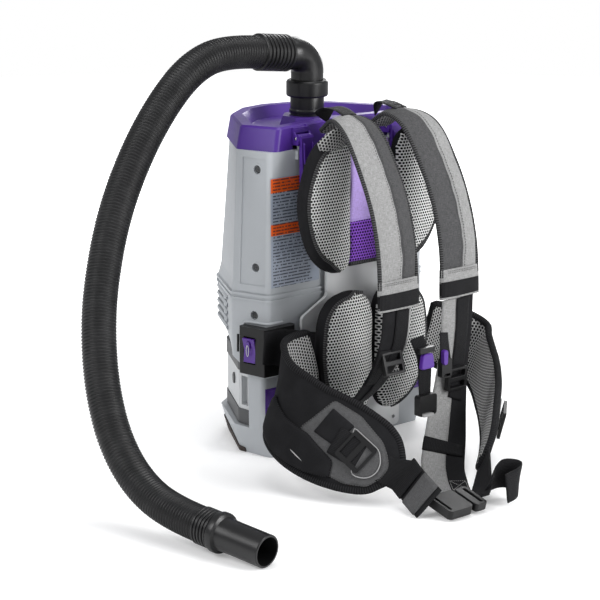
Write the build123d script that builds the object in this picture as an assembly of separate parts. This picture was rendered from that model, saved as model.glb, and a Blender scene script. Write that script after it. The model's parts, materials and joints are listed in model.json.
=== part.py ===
from build123d import *
import os
from math import cos, pi, radians, sin, tan

# Backpack vacuum cleaner, cordless, millimetres.
# +Z up, -Y towards the wearer, +Y the outer side.  Left (-X) and right (+X) are as seen by
# somebody who looks at the harness.  The origin is on the floor, under the middle of the housing.

# ---- driving dimensions -----------------------------------------------------------------------
FRONT = -100.0            # the housing's flat face on the wearer's side
SIDE_Y = -40.0            # where the housing is widest
SEAM_Z = 240.0            # joint between the lower housing and the bag chamber
CHAMBER_TOP = 450.0
LID_TOP = 484.0
WALL = 3.0
SPLIT_Y = -92.0           # parting plane between front and rear mouldings
PORT_X, PORT_Y = 0.0, -10.0
PORT_R = 25.0             # outside radius of the lid's hose port
HOSE_R = 24.0             # outside radius of the corrugated hose
WAND_BORE_R = 19.0        # bore of the cuff that a wand is pushed into
WAND_TUBE_R = 22.0
BAY_Z0, BAY_Z1 = 43.0, 147.0
BAY_Y = -70.0             # front wall of the battery bay
LATCH_X = 88.0
PIN = (-103.0, 466.0)     # y, z of the lid latch pins
STRAP_T = 13.0            # thickness of a padded shoulder strap
PAD_BACK, PAD_FRONT = -138.0, -164.0
PLATE_BACK, PLATE_FRONT = -106.0, -111.0

# Plan of the housing at each height: half widths and the y of every corner
# z: (front x, side x, rear x, rear y, tail x, tail y, tip y)
PLAN = {
    0.0: (148, 156, 102, 52, 50, 84, 94),
    42.0: (162, 167, 113, 58, 57, 94, 104),
    120.0: (162, 169, 112, 57, 56, 93, 103),
    146.0: (160, 170, 100, 48, 50, 82, 92),
    180.0: (153, 171, 114, 60, 58, 98, 110),
    240.0: (152, 171, 116, 61, 59, 99, 111),
    262.0: (152, 168, 111, 58, 57, 96, 108),
    450.0: (149, 160, 98, 52, 48, 88, 98),
}


# Plan of the lid's skirt and of its top, with a shallow V in the wearer's side
LID_BOTTOM = [(137, FRONT - 1.5), (160, SIDE_Y), (101, 55), (50, 91), (0, 101),
              (-50, 91), (-101, 55), (-160, SIDE_Y), (-137, FRONT - 1.5), (0, -82)]
LID_UPPER = [(130, FRONT + 1), (153, SIDE_Y), (97, 51), (48, 86), (0, 96),
             (-48, 86), (-97, 51), (-153, SIDE_Y), (-130, FRONT + 1), (0, -80)]


# ---- helpers ----------------------------------------------------------------------------------
def save(name, *solids):
    """Write one node, as one solid or as a group of separate solids."""
    flat = []
    for item in solids:
        flat += list(item.solids())
    shape = flat[0] if len(flat) == 1 else Compound(children=flat)
    export_step(shape, f"parts/{name}.step")
    print(f"{name:24s} solids {len(flat):3d}  volume {sum(s.volume for s in flat) / 1000:9.1f} cm3")


def box(x0, x1, y0, y1, z0, z1):
    return Pos((x0 + x1) / 2, (y0 + y1) / 2, (z0 + z1) / 2) * Box(x1 - x0, y1 - y0, z1 - z0)


def tube(r_out, r_in, z0, z1, x=0.0, y=0.0):
    place = Pos(x, y, (z0 + z1) / 2)
    ring = Cylinder(r_out, z1 - z0)
    return place * (ring - Cylinder(r_in, z1 - z0 + 1)) if r_in else place * ring


def both_sides(shape):
    """A shape and its mirror image across the YZ plane."""
    return [shape, mirror(shape, about=Plane.YZ)]


def prism_x(points_yz, x0, x1):
    """Extrude a polygon given in (y, z) along X."""
    wire = Polyline(*[(x0, y, z) for y, z in points_yz], close=True)
    return Solid.extrude(Face(Wire(wire.edges())), Vector(x1 - x0, 0, 0))


def prism_z(points, z0, z1):
    wire = Polyline(*[(x, y, z0) for x, y in points], close=True)
    return Solid.extrude(Face(Wire(wire.edges())), Vector(0, 0, z1 - z0))


def turned(profile_rz, origin=(0, 0, 0), axis=(0, 0, 1)):
    """Revolve a closed (radius, height) polygon about an axis through origin."""
    wire = Polyline(*[(r, 0, z) for r, z in profile_rz], close=True)
    solid = revolve(Face(Wire(wire.edges())), Axis.Z)
    return Plane(origin=origin, z_dir=axis) * solid


def plan_points(z):
    front, side, rear_x, rear_y, tail_x, tail_y, tip = PLAN[z]
    half = [(front, FRONT), (side, SIDE_Y), (rear_x, rear_y), (tail_x, tail_y)]
    left = [(-x, y) for x, y in reversed(half)]
    return half + [(0.0, tip)] + left


def plan_face(points, z, inset=0.0, radius=9.0):
    """Closed outline with rounded corners, moved in by inset (or out, when negative)."""
    sketch = make_face(Polyline(*points, close=True))
    sketch = fillet(sketch.vertices(), radius)
    if inset:
        sketch = offset(sketch, -inset, kind=Kind.ARC if inset < 0 else Kind.INTERSECTION)
    return Pos(0, 0, z) * sketch


def body_stack(levels, inset=0.0, z_min=None, z_max=None):
    """Ruled loft through the housing plans, as one solid."""
    solid = None
    for low, high in zip(levels, levels[1:]):
        z0 = z_min if (z_min is not None and low == levels[0]) else low
        z1 = z_max if (z_max is not None and high == levels[-1]) else high
        part = loft([plan_face(plan_points(low), z0, inset),
                     plan_face(plan_points(high), z1, inset)], ruled=True)
        solid = part if solid is None else solid + part
    return solid


def band_solid(stations, thickness):
    """A strap: stations of (centre, side direction, width), joined by flat facets."""
    centres = [Vector(*c) for c, _, _ in stations]
    rings = []
    for i, (_, side, width) in enumerate(stations):
        along = centres[min(i + 1, len(centres) - 1)] - centres[max(i - 1, 0)]
        side = Vector(*side).normalized()
        normal = along.cross(side).normalized()
        side = normal.cross(along).normalized()
        a, b = side * (width / 2), normal * (thickness / 2)
        c = centres[i]
        rings.append([c - a - b, c + a - b, c + a + b, c - a + b])
    faces = [Face(Wire.make_polygon(rings[0])), Face(Wire.make_polygon(rings[-1]))]
    for near, far in zip(rings, rings[1:]):
        for k in range(4):
            n = (k + 1) % 4
            faces.append(Face(Wire.make_polygon([near[k], near[n], far[n]])))
            faces.append(Face(Wire.make_polygon([near[k], far[n], far[k]])))
    solid = Solid(Shell(faces))
    return solid if solid.volume > 0 else Solid(solid.wrapped.Reversed())


def mirrored(stations):
    return [((-c[0], c[1], c[2]), (-s[0], s[1], s[2]), w) for c, s, w in stations]


def pad_outline(points):
    wire = Spline(*[(x, 0, z) for x, z in points], periodic=True)
    return Face(Wire(wire.edges()))


def pad_solid(points, y_back, y_front, round_r):
    face = pad_outline(points)
    solid = Pos(0, y_back, 0) * Solid.extrude(face, Vector(0, y_front - y_back, 0))
    return fillet(solid.edges(), round_r)


# ---- housing ----------------------------------------------------------------------------------
def chamber_shells():
    """Bag chamber: open below the lid, floor with an air hole, parted front and rear."""
    outer = body_stack([240.0, 262.0, 450.0])
    inner = body_stack([240.0, 262.0, 450.0], WALL, z_min=SEAM_Z + WALL, z_max=CHAMBER_TOP - 4)
    mouth = plan_face(LID_BOTTOM, CHAMBER_TOP - 5, 15)
    shell = outer - inner - extrude(mouth, 6) - tube(42, 0, SEAM_Z - 1, SEAM_Z + 5)
    groove = (extrude(plan_face(plan_points(240.0), SEAM_Z + 4, -2), 2)
              - extrude(plan_face(plan_points(240.0), SEAM_Z + 4, 1.3), 2))
    shell -= groove
    # sunken panel on each side face, with two screw pockets
    for cut in side_panel_cut():
        shell -= cut
    shell = with_pockets(shell + seam_flange(SEAM_Z, SEAM_Z + 3.4), [424, 282])
    front = shell & box(-200, 200, -140, SPLIT_Y, 0, 500)
    rear = shell & box(-200, 200, SPLIT_Y, 140, 0, 500)
    for x in (-LATCH_X, LATCH_X):
        front += box(x - 13, x + 13, -105.5, FRONT + 2, 436, 449)
        front += box(x - 9, x + 9, -103, FRONT + 1, 449, 455)
    for x, z in PLATE_BOSSES[2:]:
        front += Pos(x, (PLATE_BACK + FRONT) / 2 + 1, z) * Rot(90, 0, 0) * Cylinder(9, 8)
        front -= Pos(x, -104, z) * Rot(90, 0, 0) * Cylinder(2.5, 24)
    return front, rear


# side faces run from the front corner back to the widest corner
def side_frame(z, y):
    """Point and outward direction of the left side face at height z and a given y."""
    low, high = (240.0, 262.0) if z < 262 else (262.0, 450.0)
    if z < 240:
        low, high = (180.0, 240.0) if z >= 180 else (146.0, 180.0)
    t = (z - low) / (high - low)
    front = PLAN[low][0] * (1 - t) + PLAN[high][0] * t
    side = PLAN[low][1] * (1 - t) + PLAN[high][1] * t
    s = (y - FRONT) / (SIDE_Y - FRONT)
    direction = Vector(-(SIDE_Y - FRONT), -(side - front), 0).normalized()
    return Vector(-(front + (side - front) * s), y, z), direction


def side_panel_cut():
    top_a, normal = side_frame(440, -94)
    top_b, _ = side_frame(440, -52)
    low_a, _ = side_frame(256, -94)
    low_b, _ = side_frame(256, -52)
    depth = 1.6
    rings = []
    for a, b in ((low_a, low_b), (top_a, top_b)):
        rings.append(Wire.make_polygon([a + normal * 5, b + normal * 5,
                                        b - normal * depth, a - normal * depth]))
    left = Solid.make_loft(rings, True)
    return both_sides(left)


def screw_pockets(heights, y=-77.0):
    """Places of the screws in the side faces: the bosses behind them, and the pockets to cut."""
    bosses, pockets = [], []
    for z in heights:
        point, normal = side_frame(z, y)
        place = Plane(origin=point, z_dir=normal)
        bosses += both_sides(place * (Pos(0, 0, -5.4) * Cylinder(9.5, 8.0)))
        pockets += both_sides(place * Cylinder(6.4, 11.0))
    return bosses, pockets


def with_pockets(shell, heights):
    bosses, pockets = screw_pockets(heights)
    for boss in bosses:
        shell += boss
    for pocket in pockets:
        shell -= pocket
    return shell


def seam_flange(z0, z1):
    """A step that stands proud all round at the seam between the two halves of the housing."""
    return (extrude(plan_face(plan_points(240.0), z0, -1.8), z1 - z0)
            - extrude(plan_face(plan_points(240.0), z0 - 1, 1.0), z1 - z0 + 2))


def lower_shells():
    """Lower housing: base, battery bay open at the back and both ends, exhaust section above."""
    levels = [0.0, 42.0, 120.0, 146.0, 180.0, 240.0]
    outer = body_stack(levels)
    inner = body_stack(levels, WALL, z_min=WALL)
    bay = [(BAY_Y, BAY_Z0), (BAY_Y, 128), (SIDE_Y, BAY_Z1), (150, BAY_Z1), (150, BAY_Z0)]
    skin = [(BAY_Y - WALL, BAY_Z0 - WALL), (BAY_Y - WALL, 130), (SIDE_Y - 1, BAY_Z1 + WALL),
            (150, BAY_Z1 + WALL), (150, BAY_Z0 - WALL)]
    shell = outer - prism_x(bay, -200, 200) - (inner - prism_x(skin, -200, 200))
    shell = with_pockets(shell + seam_flange(SEAM_Z - 7, SEAM_Z - 3.6), [212])
    # exhaust window at the back, filled by the louvres
    shell -= louvre_window()
    for x0, x1 in ((-160, -100), (100, 160)):
        shell -= box(x0 + 2, x1 - 2, -110, -90, 52, 106)
    # contact slot of the battery bay
    shell -= box(-26, 26, BAY_Y - 4, BAY_Y + 1, 82, 108)
    front = shell & box(-200, 200, -140, SPLIT_Y, 0, 500)
    rear = shell & box(-200, 200, SPLIT_Y, 140, 0, 500)
    for x, z in PLATE_BOSSES[:2]:
        front += Pos(x, (PLATE_BACK + FRONT) / 2 + 1, z) * Rot(90, 0, 0) * Cylinder(9, 8)
        front -= Pos(x, -104, z) * Rot(90, 0, 0) * Cylinder(2.5, 24)
    return front, rear


def louvre_window():
    """The block of rear wall, either side of the middle, that the louvres take up."""
    return box(-200, 200, -14, 140, 176, 232) & (
        body_stack([146.0, 180.0, 240.0], -8) - body_stack([146.0, 180.0, 240.0], WALL + 0.5))


def louvres():
    wall = (body_stack([146.0, 180.0, 240.0]) - body_stack([146.0, 180.0, 240.0], WALL))
    wall = wall & box(-200, 200, -14, 140, 176, 232)
    count, pitch, blade = 5, 11.2, 6.6
    for i in range(count):
        z0 = 177.6 + i * pitch
        slot = body_stack([146.0, 180.0, 240.0], -4) & box(-200, 200, -8, 140, z0 + blade, z0 + pitch - 1)
        ribs = [box(x - 2, x + 2, -20, 140, 170, 240) for x in range(-140, 141, 40)]
        for rib in ribs:
            slot -= rib
        if i < count - 1:
            wall -= slot
        outer = plan_face(plan_points(180.0), z0, -0.5)
        proud = plan_face(plan_points(180.0), z0 + blade / 2, -3.2)
        scallop = loft([outer, proud], ruled=True)
        top = plan_face(plan_points(240.0), z0 + blade, -0.2)
        scallop += loft([proud, top], ruled=True)
        scallop = scallop & box(-200, 200, -12, 140, 170, 240)
        scallop -= extrude(plan_face(plan_points(180.0), 170, 1.5), 70)
        wall += scallop
    return wall


def accent_panels():
    """Coloured panels let into the lower front corners, each with a sunken middle."""
    panel = box(-158, -102, FRONT + 0.6, FRONT + 6, 52, 106)
    panel -= box(-152, -106, FRONT - 1, FRONT + 2.6, 57, 101)
    return both_sides(panel)


def side_screws():
    screws = []
    for z in (424, 282, 212):
        point, normal = side_frame(z, -77.0)
        body = Cylinder(5.0, 1.8) - Pos(0, 0, 1) * (Box(6.4, 1.2, 2) + Box(1.2, 6.4, 2))
        screw = Plane(origin=point - normal * 4.6, z_dir=normal) * body
        screws += both_sides(screw)
    return screws


def bumper():
    """Rubber guard round the bottom edge, taller at the back."""
    outer = loft([plan_face(plan_points(0.0), 0, -2.0),
                  plan_face(plan_points(42.0), 42, -2.0)], ruled=True)
    inner = loft([plan_face(plan_points(0.0), 0), plan_face(plan_points(42.0), 42)], ruled=True)
    ring = outer - inner
    keep = prism_x([(-52, -1), (-52, 7), (0, 15), (60, 24), (150, 24), (150, -1)], -200, 200)
    return ring & keep


# ---- harness plate ----------------------------------------------------------------------------
PLATE_BOSSES = [(-70, 60), (70, 60), (-45, 330), (45, 330)]


def harness_plate():
    outline = [(-98, 7), (98, 7), (98, 205), (50, 230), (50, 472), (-50, 472), (-50, 230), (-98, 205)]
    wire = Polyline(*[(x, PLATE_BACK, z) for x, z in outline], close=True)
    plate = Solid.extrude(Face(Wire(wire.edges())), Vector(0, PLATE_FRONT - PLATE_BACK, 0))
    plate = fillet(plate.edges().filter_by(Axis.Y), 8)
    for x, z in PLATE_BOSSES:
        plate -= Pos(x, PLATE_FRONT, z) * Rot(90, 0, 0) * Cylinder(2.6, 30)
    for x in (-86, 86):
        plate -= Pos(x, PLATE_FRONT, 20) * Rot(90, 0, 0) * Cylinder(3.0, 30)
    return plate


def plate_screws():
    screws = []
    for x, z in PLATE_BOSSES:
        head = Pos(x, PLATE_FRONT - 1.2, z) * Rot(90, 0, 0) * Cylinder(5.0, 2.4)
        shank = Pos(x, PLATE_FRONT + 5, z) * Rot(90, 0, 0) * Cylinder(2.45, 12)
        socket = Pos(x, PLATE_FRONT - 2.4, z) * Rot(90, 0, 0) * (Box(6, 1.2, 2) + Box(1.2, 6, 2))
        screws.append(head + shank - socket)
    return screws


# ---- inside the chamber and the motor ---------------------------------------------------------
def filter_bag():
    def shape(inset, z0, z1):
        low = plan_face(plan_points(240.0), z0, 34 + inset, 9)
        high = plan_face(plan_points(450.0), z1, 26 + inset, 9)
        return loft([low, high], ruled=True)
    return shape(0, 292, 436) - shape(1.2, 293.2, 434.8) - tube(26, 0, 430, 440, PORT_X, PORT_Y)


def bag_collar():
    plate = fillet(box(-50, 50, PORT_Y - 45, PORT_Y + 45, 436, 440).edges().filter_by(Axis.Z), 12)
    return plate - tube(PORT_R + 0.4, 0, 430, 445, PORT_X, PORT_Y)


def dome_filter():
    ring = tube(56, 44, SEAM_Z + WALL, SEAM_Z + WALL + 5)
    dome = Pos(0, 0, SEAM_Z + WALL + 3) * (Sphere(46) - Sphere(43.5)) & box(-60, 60, -60, 60, 246, 300)
    return ring + dome


MOTOR_Z = 153.2


def motor_housing():
    cup = tube(65, 61, MOTOR_Z, 238) + tube(65, 0, MOTOR_Z, MOTOR_Z + 3)
    cup += tube(65, 30, 235, 238)
    for k in range(8):
        window = Pos(0, 0, 181) * Rot(0, 0, 45 * k) * Pos(63, 0, 0) * Box(12, 26, 34)
        cup -= window
    return cup


def motor_stator():
    body = tube(40, 23, 164, 200) + tube(40, 11, MOTOR_Z + 3, 164) + tube(40, 11, 200, 206)
    for k in range(12):
        body -= Pos(0, 0, 182) * Rot(0, 0, 30 * k) * Pos(40, 0, 0) * Box(4, 5, 30)
    return body


def rotor_bearings():
    return [tube(11, 4.04, 157, 164), tube(11, 4.04, 200, 206)]


def rotor_shaft():
    return tube(4, 0, 157, 230) + tube(21.5, 0, 168, 196)


def impeller():
    wheel = tube(56, 4, 208.5, 210.5) + tube(12, 4, 208.5, 229)
    vanes = 9
    for k in range(vanes):
        blade = Pos(0, 0, 217.5) * Rot(0, 0, 360 / vanes * k) * Pos(33, 0, 0) * Rot(0, 0, 28) * Box(40, 2, 16)
        wheel += blade
    wheel += tube(56, 24, 224.5, 226.5)
    return wheel & tube(56, 4, 200, 240)


def control_board():
    board = box(-55, 55, -86, -84, 58, 118)
    for x, w, h in ((-36, 18, 14), (-8, 22, 10), (22, 12, 12), (42, 10, 16)):
        board += box(x - w / 2, x + w / 2, -84, -76, 88 - h, 88 + h)
    return board + box(-50, 50, -95.9, -86, 58, 60)


def battery_contacts():
    block = box(-24, 24, BAY_Y - 3, BAY_Y + 5, 84, 106)
    for x in (-15, -5, 5, 15):
        block -= box(x - 1.5, x + 1.5, BAY_Y + 1, BAY_Y + 6, 88, 102)
    return block


# ---- battery ----------------------------------------------------------------------------------
def battery_profile(gap):
    return [(BAY_Y + gap, BAY_Z0 + gap), (BAY_Y + gap, 128 - gap), (SIDE_Y, BAY_Z1 - gap),
            (150, BAY_Z1 - gap), (150, BAY_Z0 + gap)]


def battery_plan(z0, z1, inset):
    points = [(159, -80), (160, SIDE_Y), (106, 53), (53, 88), (0, 98),
              (-53, 88), (-106, 53), (-160, SIDE_Y), (-159, -80)]
    return extrude(plan_face(points, z0, inset, 12), z1 - z0)


def battery_pieces():
    """Light middle housing with grip pockets at both ends, and the dark bottom and top caps."""
    envelope = prism_x(battery_profile(0.8), -200, 200)
    lower, upper = 66.0, 124.0
    outside = battery_plan(lower, upper, 1.5) & envelope
    hollow = battery_plan(lower - 1, upper + 1, 4.5) & box(-200, 200, BAY_Y + 4, 200, 0, 500)
    middle = outside - hollow
    grips = []
    pockets = both_sides(box(-200, -149, -60, -46, lower + 6, upper - 8))
    for block, pocket in zip(both_sides(box(-200, -145, -65, -41, lower, upper)), pockets):
        middle -= block
        grips.append((block & outside) - pocket)
    middle += box(-32, 32, BAY_Y + 0.8, BAY_Y + 11, 74, 116)
    middle -= box(-28, 28, BAY_Y - 1, BAY_Y + 8, 78, 112)
    middle -= gauge_place() * Cylinder(8.5, 12)
    middle -= box(-19.5, 19.5, 84, 105, 86.5, 107.5)
    bottom = battery_plan(BAY_Z0 + 0.8, lower, 0) & envelope
    bottom -= battery_plan(BAY_Z0 + 4, lower + 1, 5) & box(-200, 200, -64, 200, 0, 500)
    top = battery_plan(upper, BAY_Z1 - 0.8, 0) & envelope
    top -= battery_plan(upper - 1, BAY_Z1 - 5, 5) & box(-200, 200, SIDE_Y, 200, 0, 500)
    return [middle, *grips], [bottom, top]


def gauge_place():
    """Centre of the gauge button on the left rear face of the battery, facing outwards."""
    normal = Vector(-93, 54, 0).normalized()
    return Plane(origin=Vector(-136.5, -4.5, 100) + normal * 0.5, z_dir=normal)


def battery_cells():
    cells = []
    for row in range(3):
        for column in range(-4, 5):
            if row == 2 and abs(column) > 2:
                continue
            cells.append(tube(10.5, 0, BAY_Z0 + 4, BAY_Z0 + 74, column * 26.0, -38 + row * 30.0))
    return cells


def gauge_button():
    return gauge_place() * (Cylinder(8.1, 5) - Pos(0, 0, 2.5) * (Cylinder(5.6, 1) - Cylinder(4.4, 2)))


def release_button():
    pad = fillet(box(-19, 19, 90, 97.5, 87, 107).edges().filter_by(Axis.Y), 3)
    for z in (92, 97, 102):
        pad -= box(-13, 13, 96.7, 99, z - 1, z + 1)
    return pad


# ---- lid --------------------------------------------------------------------------------------
def lid():
    """Hollow lid: skirt, raised rim round a deep tray, and an octagonal seat for the port."""
    z0, z1, tray = CHAMBER_TOP, LID_TOP, 467.0
    body = loft([plan_face(LID_BOTTOM, z0), plan_face(LID_UPPER, z1 - 3)], ruled=True)
    body += loft([plan_face(LID_UPPER, z1 - 3), plan_face(LID_UPPER, z1, 3)], ruled=True)
    hollow = loft([plan_face(LID_BOTTOM, z0 - 1, 4.5), plan_face(LID_UPPER, z1 - 4, 3.5)], ruled=True)
    under_tray = loft([plan_face(LID_UPPER, tray - 3, 23.5), plan_face(LID_UPPER, z1, 13.5)], ruled=True)
    body -= hollow - under_tray
    body -= loft([plan_face(LID_UPPER, tray, 27), plan_face(LID_UPPER, z1 + 1, 17)], ruled=True)
    body += lid_seat()
    body -= tube(PORT_R, 0, 440, 500, PORT_X, PORT_Y)
    for x in (-LATCH_X, LATCH_X):
        body += latch_bracket(x)
        body -= box(x - 15, x + 15, -108, -90, z0 - 1, 456.5)
        body -= box(x - 12.4, x + 12.4, -108, -96, 456, 473.5)
        body -= Pos(x, PIN[0], PIN[1]) * Rot(0, 90, 0) * Cylinder(2.5, 60)
    return body


def lid_seat():
    octagon = [(44 * cos(radians(22.5 + 45 * k)), 44 * sin(radians(22.5 + 45 * k))) for k in range(8)]
    low = make_face(Pos(PORT_X, PORT_Y, 464) * Polyline(*octagon, close=True))
    high = make_face(Pos(PORT_X, PORT_Y, 480) * Polyline(*[(0.86 * x, 0.86 * y) for x, y in octagon], close=True))
    return loft([low, high], ruled=True)


def latch_bracket(x):
    """Two cheeks that carry a latch pin, and the block they stand on."""
    block = box(x - 15.5, x + 15.5, -99, -88, 456.5, LID_TOP - 3)
    for side in (-1, 1):
        edge = x + side * 14.0
        block += prism_x([(-90, 457), (-109, 457), (-109, 463), (-93, 483), (-90, 483)], edge - 1.5, edge + 1.5)
    return block


def latch_pins():
    return [Pos(x, PIN[0], PIN[1]) * Rot(0, 90, 0) * Cylinder(2.5, 31) for x in (-LATCH_X, LATCH_X)]


def lid_gasket():
    """Seal under the lid's rim, which closes on the chamber's flange."""
    ring = extrude(plan_face(LID_BOTTOM, CHAMBER_TOP, 6.5), 4)
    return ring - extrude(plan_face(LID_BOTTOM, CHAMBER_TOP - 1, 11), 8)


def latch(x):
    y, z = PIN
    arm = [(y - 5, z + 3), (y - 5, z - 4), (y - 4.2, z - 12), (y - 4.6, z - 62), (y - 9, z - 68),
           (y - 13, z - 66), (y - 10.5, z - 20), (y - 9.5, z + 1), (y - 7.5, z + 4.5)]
    lever = prism_x(arm, x - 12, x + 12)
    lever += Pos(x, y, z) * Rot(0, 90, 0) * Cylinder(6, 24)
    lever -= Pos(x, y, z) * Rot(0, 90, 0) * Cylinder(2.54, 30)
    for side in (-1, 1):
        lever += prism_x([(y - 9, z - 4), (y - 12.5, z - 8), (y - 14, z - 34), (y - 10, z - 38)],
                         x + side * 8 - 1.2, x + side * 8 + 1.2)
    return lever


# ---- hose -------------------------------------------------------------------------------------
OUTLET_TILT = 6.0                       # the elbow's outlet points up by this angle
ELBOW_CORNER = Vector(PORT_X, PORT_Y, 570)
OUT_DIR = Vector(-cos(radians(OUTLET_TILT)), 0, sin(radians(OUTLET_TILT)))
CUFF_LENGTH = 112.0
CUFF_DIR = Vector(0.144, -0.986, -0.086).normalized()
CUFF_MOUTH = Vector(-442, -440, 22.3)
CUFF_START = CUFF_MOUTH - CUFF_DIR * CUFF_LENGTH
ELBOW_END = ELBOW_CORNER + OUT_DIR * 40
HOSE_START = ELBOW_CORNER + OUT_DIR * 96

# Route of the hose, chosen by hand: out of the swivel elbow, over, down beside the housing and
# forward along the floor to the wand cuff.
HOSE_ROUTE = [
    tuple(HOSE_START),
    tuple(HOSE_START + OUT_DIR * 60),
    (-213, -12, 571),
    (-268, -18, 530),
    (-329, -30, 464),
    (-385, -48, 383),
    (-428, -74, 292),
    (-452, -101, 228),
    (-467, -130, 166),
    (-475, -166, 109),
    (-474, -211, 64),
    tuple(CUFF_START - CUFF_DIR * 62),
    tuple(CUFF_START),
]


def hose():
    points = [Vector(*p) for p in HOSE_ROUTE]
    radii, turns = [], []
    for a, b, c in zip(points, points[1:], points[2:]):
        turn = (b - a).get_angle(c - b)
        shorter = min((b - a).length, (c - b).length)
        radii.append(0.45 * shorter / tan(radians(turn / 2)))
        turns.append(turn)
    path = FilletPolyline(*points, radius=radii)
    length = sum(e.length for e in path.edges())
    print("hose runs ", [round((b - a).length) for a, b in zip(points, points[1:])])
    print("hose turns", [round(t, 1) for t in turns])
    print("hose radii", [round(r) for r in radii], "length", round(length))
    start = Plane(origin=points[0], z_dir=points[1] - points[0])
    section = start * (Circle(HOSE_R) - Circle(HOSE_R - 2))
    solid = sweep(section, path=path)
    area = pi * (HOSE_R ** 2 - (HOSE_R - 2) ** 2)
    print("hose volume ratio", round(solid.volume / (area * length), 4))
    return solid


def elbow():
    foot = Vector(PORT_X, PORT_Y, 516)
    path = FilletPolyline(foot, ELBOW_CORNER, ELBOW_END, radius=29)
    ring = Plane(origin=foot, z_dir=(0, 0, 1)) * (Circle(24) - Circle(20))
    return sweep(ring, path=path)


def swivel_collar():
    profile = [(PORT_R + 0.05, 508), (29.5, 508), (31, 510), (31, 529), (29, 532), (24, 532),
               (24, 516), (PORT_R + 0.05, 516)]
    return turned(profile, (PORT_X, PORT_Y, 0))


def ribbed(r_body, r_rib, z0, z1, count):
    """Outer profile points of a stack of round-shouldered ribs."""
    pitch = (z1 - z0) / count
    points = []
    for k in range(count):
        z = z0 + k * pitch
        points += [(r_body, z), (r_body, z + pitch * 0.2), (r_rib, z + pitch * 0.35),
                   (r_rib, z + pitch * 0.8), (r_body, z + pitch * 0.95)]
    return points + [(r_body, z1)]


def hose_cuff():
    length = (HOSE_START - ELBOW_END).length
    outer = ribbed(24.6, 27.0, 0, length, 8)
    return turned(outer + [(20, length), (20, 0)], ELBOW_END, OUT_DIR)


def wand_cuff():
    total = CUFF_LENGTH
    outer = ribbed(23.6, 25.4, 0, 27, 5)
    outer += [(26.6, 28), (27.3, 30), (27.3, 36), (26.6, 38), (WAND_TUBE_R + 0.6, 40),
              (WAND_TUBE_R, 60), (WAND_TUBE_R, total - 1), (WAND_TUBE_R - 1, total)]
    inner = [(WAND_BORE_R, total), (WAND_BORE_R, 42), (WAND_BORE_R + 3, 40), (WAND_BORE_R + 3, 0)]
    return turned(outer + inner, CUFF_START, CUFF_DIR)


def hose_port():
    """Lid port: stub into the bag collar below, neck for the swivel above."""
    profile = [(21, 436), (PORT_R - 0.4, 436), (PORT_R - 0.4, 458), (PORT_R, 458), (PORT_R, 484),
               (PORT_R + 1.5, 484), (PORT_R + 1.5, 488), (PORT_R, 490), (PORT_R, 515.5), (21, 515.5)]
    return turned(profile, (PORT_X, PORT_Y, 0))


# ---- switch -----------------------------------------------------------------------------------
def switch_place():
    point, normal = side_frame(164, -81)
    return Plane(origin=point, z_dir=normal, x_dir=(0, 0, 1))


def switch_housing():
    """Hooded switch box wrapped round the front corner of the lower housing."""
    point, normal = side_frame(164, -62)
    corner, _ = side_frame(164, FRONT)
    a, b = point + normal * 0.3, corner + normal * 0.3
    plan = [(a.X, a.Y), (a.X + normal.X * 13, a.Y + normal.Y * 13),
            (b.X + normal.X * 13 - 1, b.Y + normal.Y * 13 - 9), (-116, -115), (-110, -109),
            (-110, FRONT - 0.3), (b.X + 2, FRONT - 0.3), (b.X, b.Y)]
    body = prism_z(plan, 128, 198)
    body = fillet(body.edges().filter_by(Axis.Z), 2.0)
    housing = body - switch_place() * (Pos(0, 0, 12) * Box(40, 22, 10))
    return housing - body_stack([120.0, 146.0, 180.0, 240.0], -0.3)


ROCKER_W, ROCKER_L = 20.6, 36.0


def power_rocker():
    """Rocker cap with a tilted top, turning on an axis across its middle."""
    half = ROCKER_L / 2
    profile = [(-half, 10.5), (-half, 15.2), (0, 13.6), (half, 18.5), (half, 13.8), (4, 7.6), (-4, 7.6)]
    wire = Polyline(*[(u, -ROCKER_W / 2, w) for u, w in profile], close=True)
    cap = Solid.extrude(Face(Wire(wire.edges())), Vector(0, ROCKER_W, 0))
    mark = Pos(8, 0, 17.6) * Rot(0, -16, 0) * Box(12, 6, 0.8)
    return switch_place() * (cap + mark)


# ---- harness: bands follow stations of (centre, side direction, width) ------------------------
SHOULDER_STRAP = [
    ((-47, -119, 476), (1, 0, 0), 50),
    ((-50, -150, 494), (1, 0, 0), 54),
    ((-56, -190, 481), (1, 0, 0), 68),
    ((-58, -227, 431), (1, 0, 0), 72),
    ((-59, -254, 375), (1, 0, 0), 72),
    ((-60, -269, 312), (1, 0, 0), 73),
    ((-60, -273, 242), (1, 0, 0), 74),
]
LOWER_STRAP_LEFT = [
    ((-60, -272, 240), (1, 0, 0), 58),
    ((-61, -267, 195), (1, 0, 0), 56),
    ((-66, -250, 150), (1, 0, 0.1), 54),
    ((-76, -226, 112), (1, 0, 0.2), 52),
    ((-86, -196, 82), (1, 0, 0.2), 50),
    ((-90, -177, 64), (1, 0, 0.2), 48),
]
LOWER_STRAP_RIGHT = [
    ((60, -273, 240), (1, 0, 0), 58),
    ((61, -270, 190), (1, 0, 0), 60),
    ((56, -268, 132), (1, 0, 0), 66),
    ((38, -280, 84), (1, -0.1, 0), 70),
    ((6, -306, 44), (1, -0.3, 0), 66),
    ((-28, -336, 22), (1, -0.6, 0), 58),
    ((-54, -368, 12), (1, -0.7, 0), 54),
    ((-74, -396, 8), (1, -0.8, 0), 50),
]
HIP_WING_LEFT = [
    ((-113, -151, 155), (0, 0, 1), 92),
    ((-165, -153, 140), (0.1, -0.1, 1), 112),
    ((-200, -186, 116), (0.25, -0.1, 1), 122),
    ((-206, -240, 94), (0.4, -0.05, 1), 126),
    ((-188, -300, 76), (0.5, 0, 1), 124),
    ((-160, -350, 58), (0.55, 0, 1), 96),
    ((-148, -370, 48), (0.55, 0, 1), 64),
]
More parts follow.
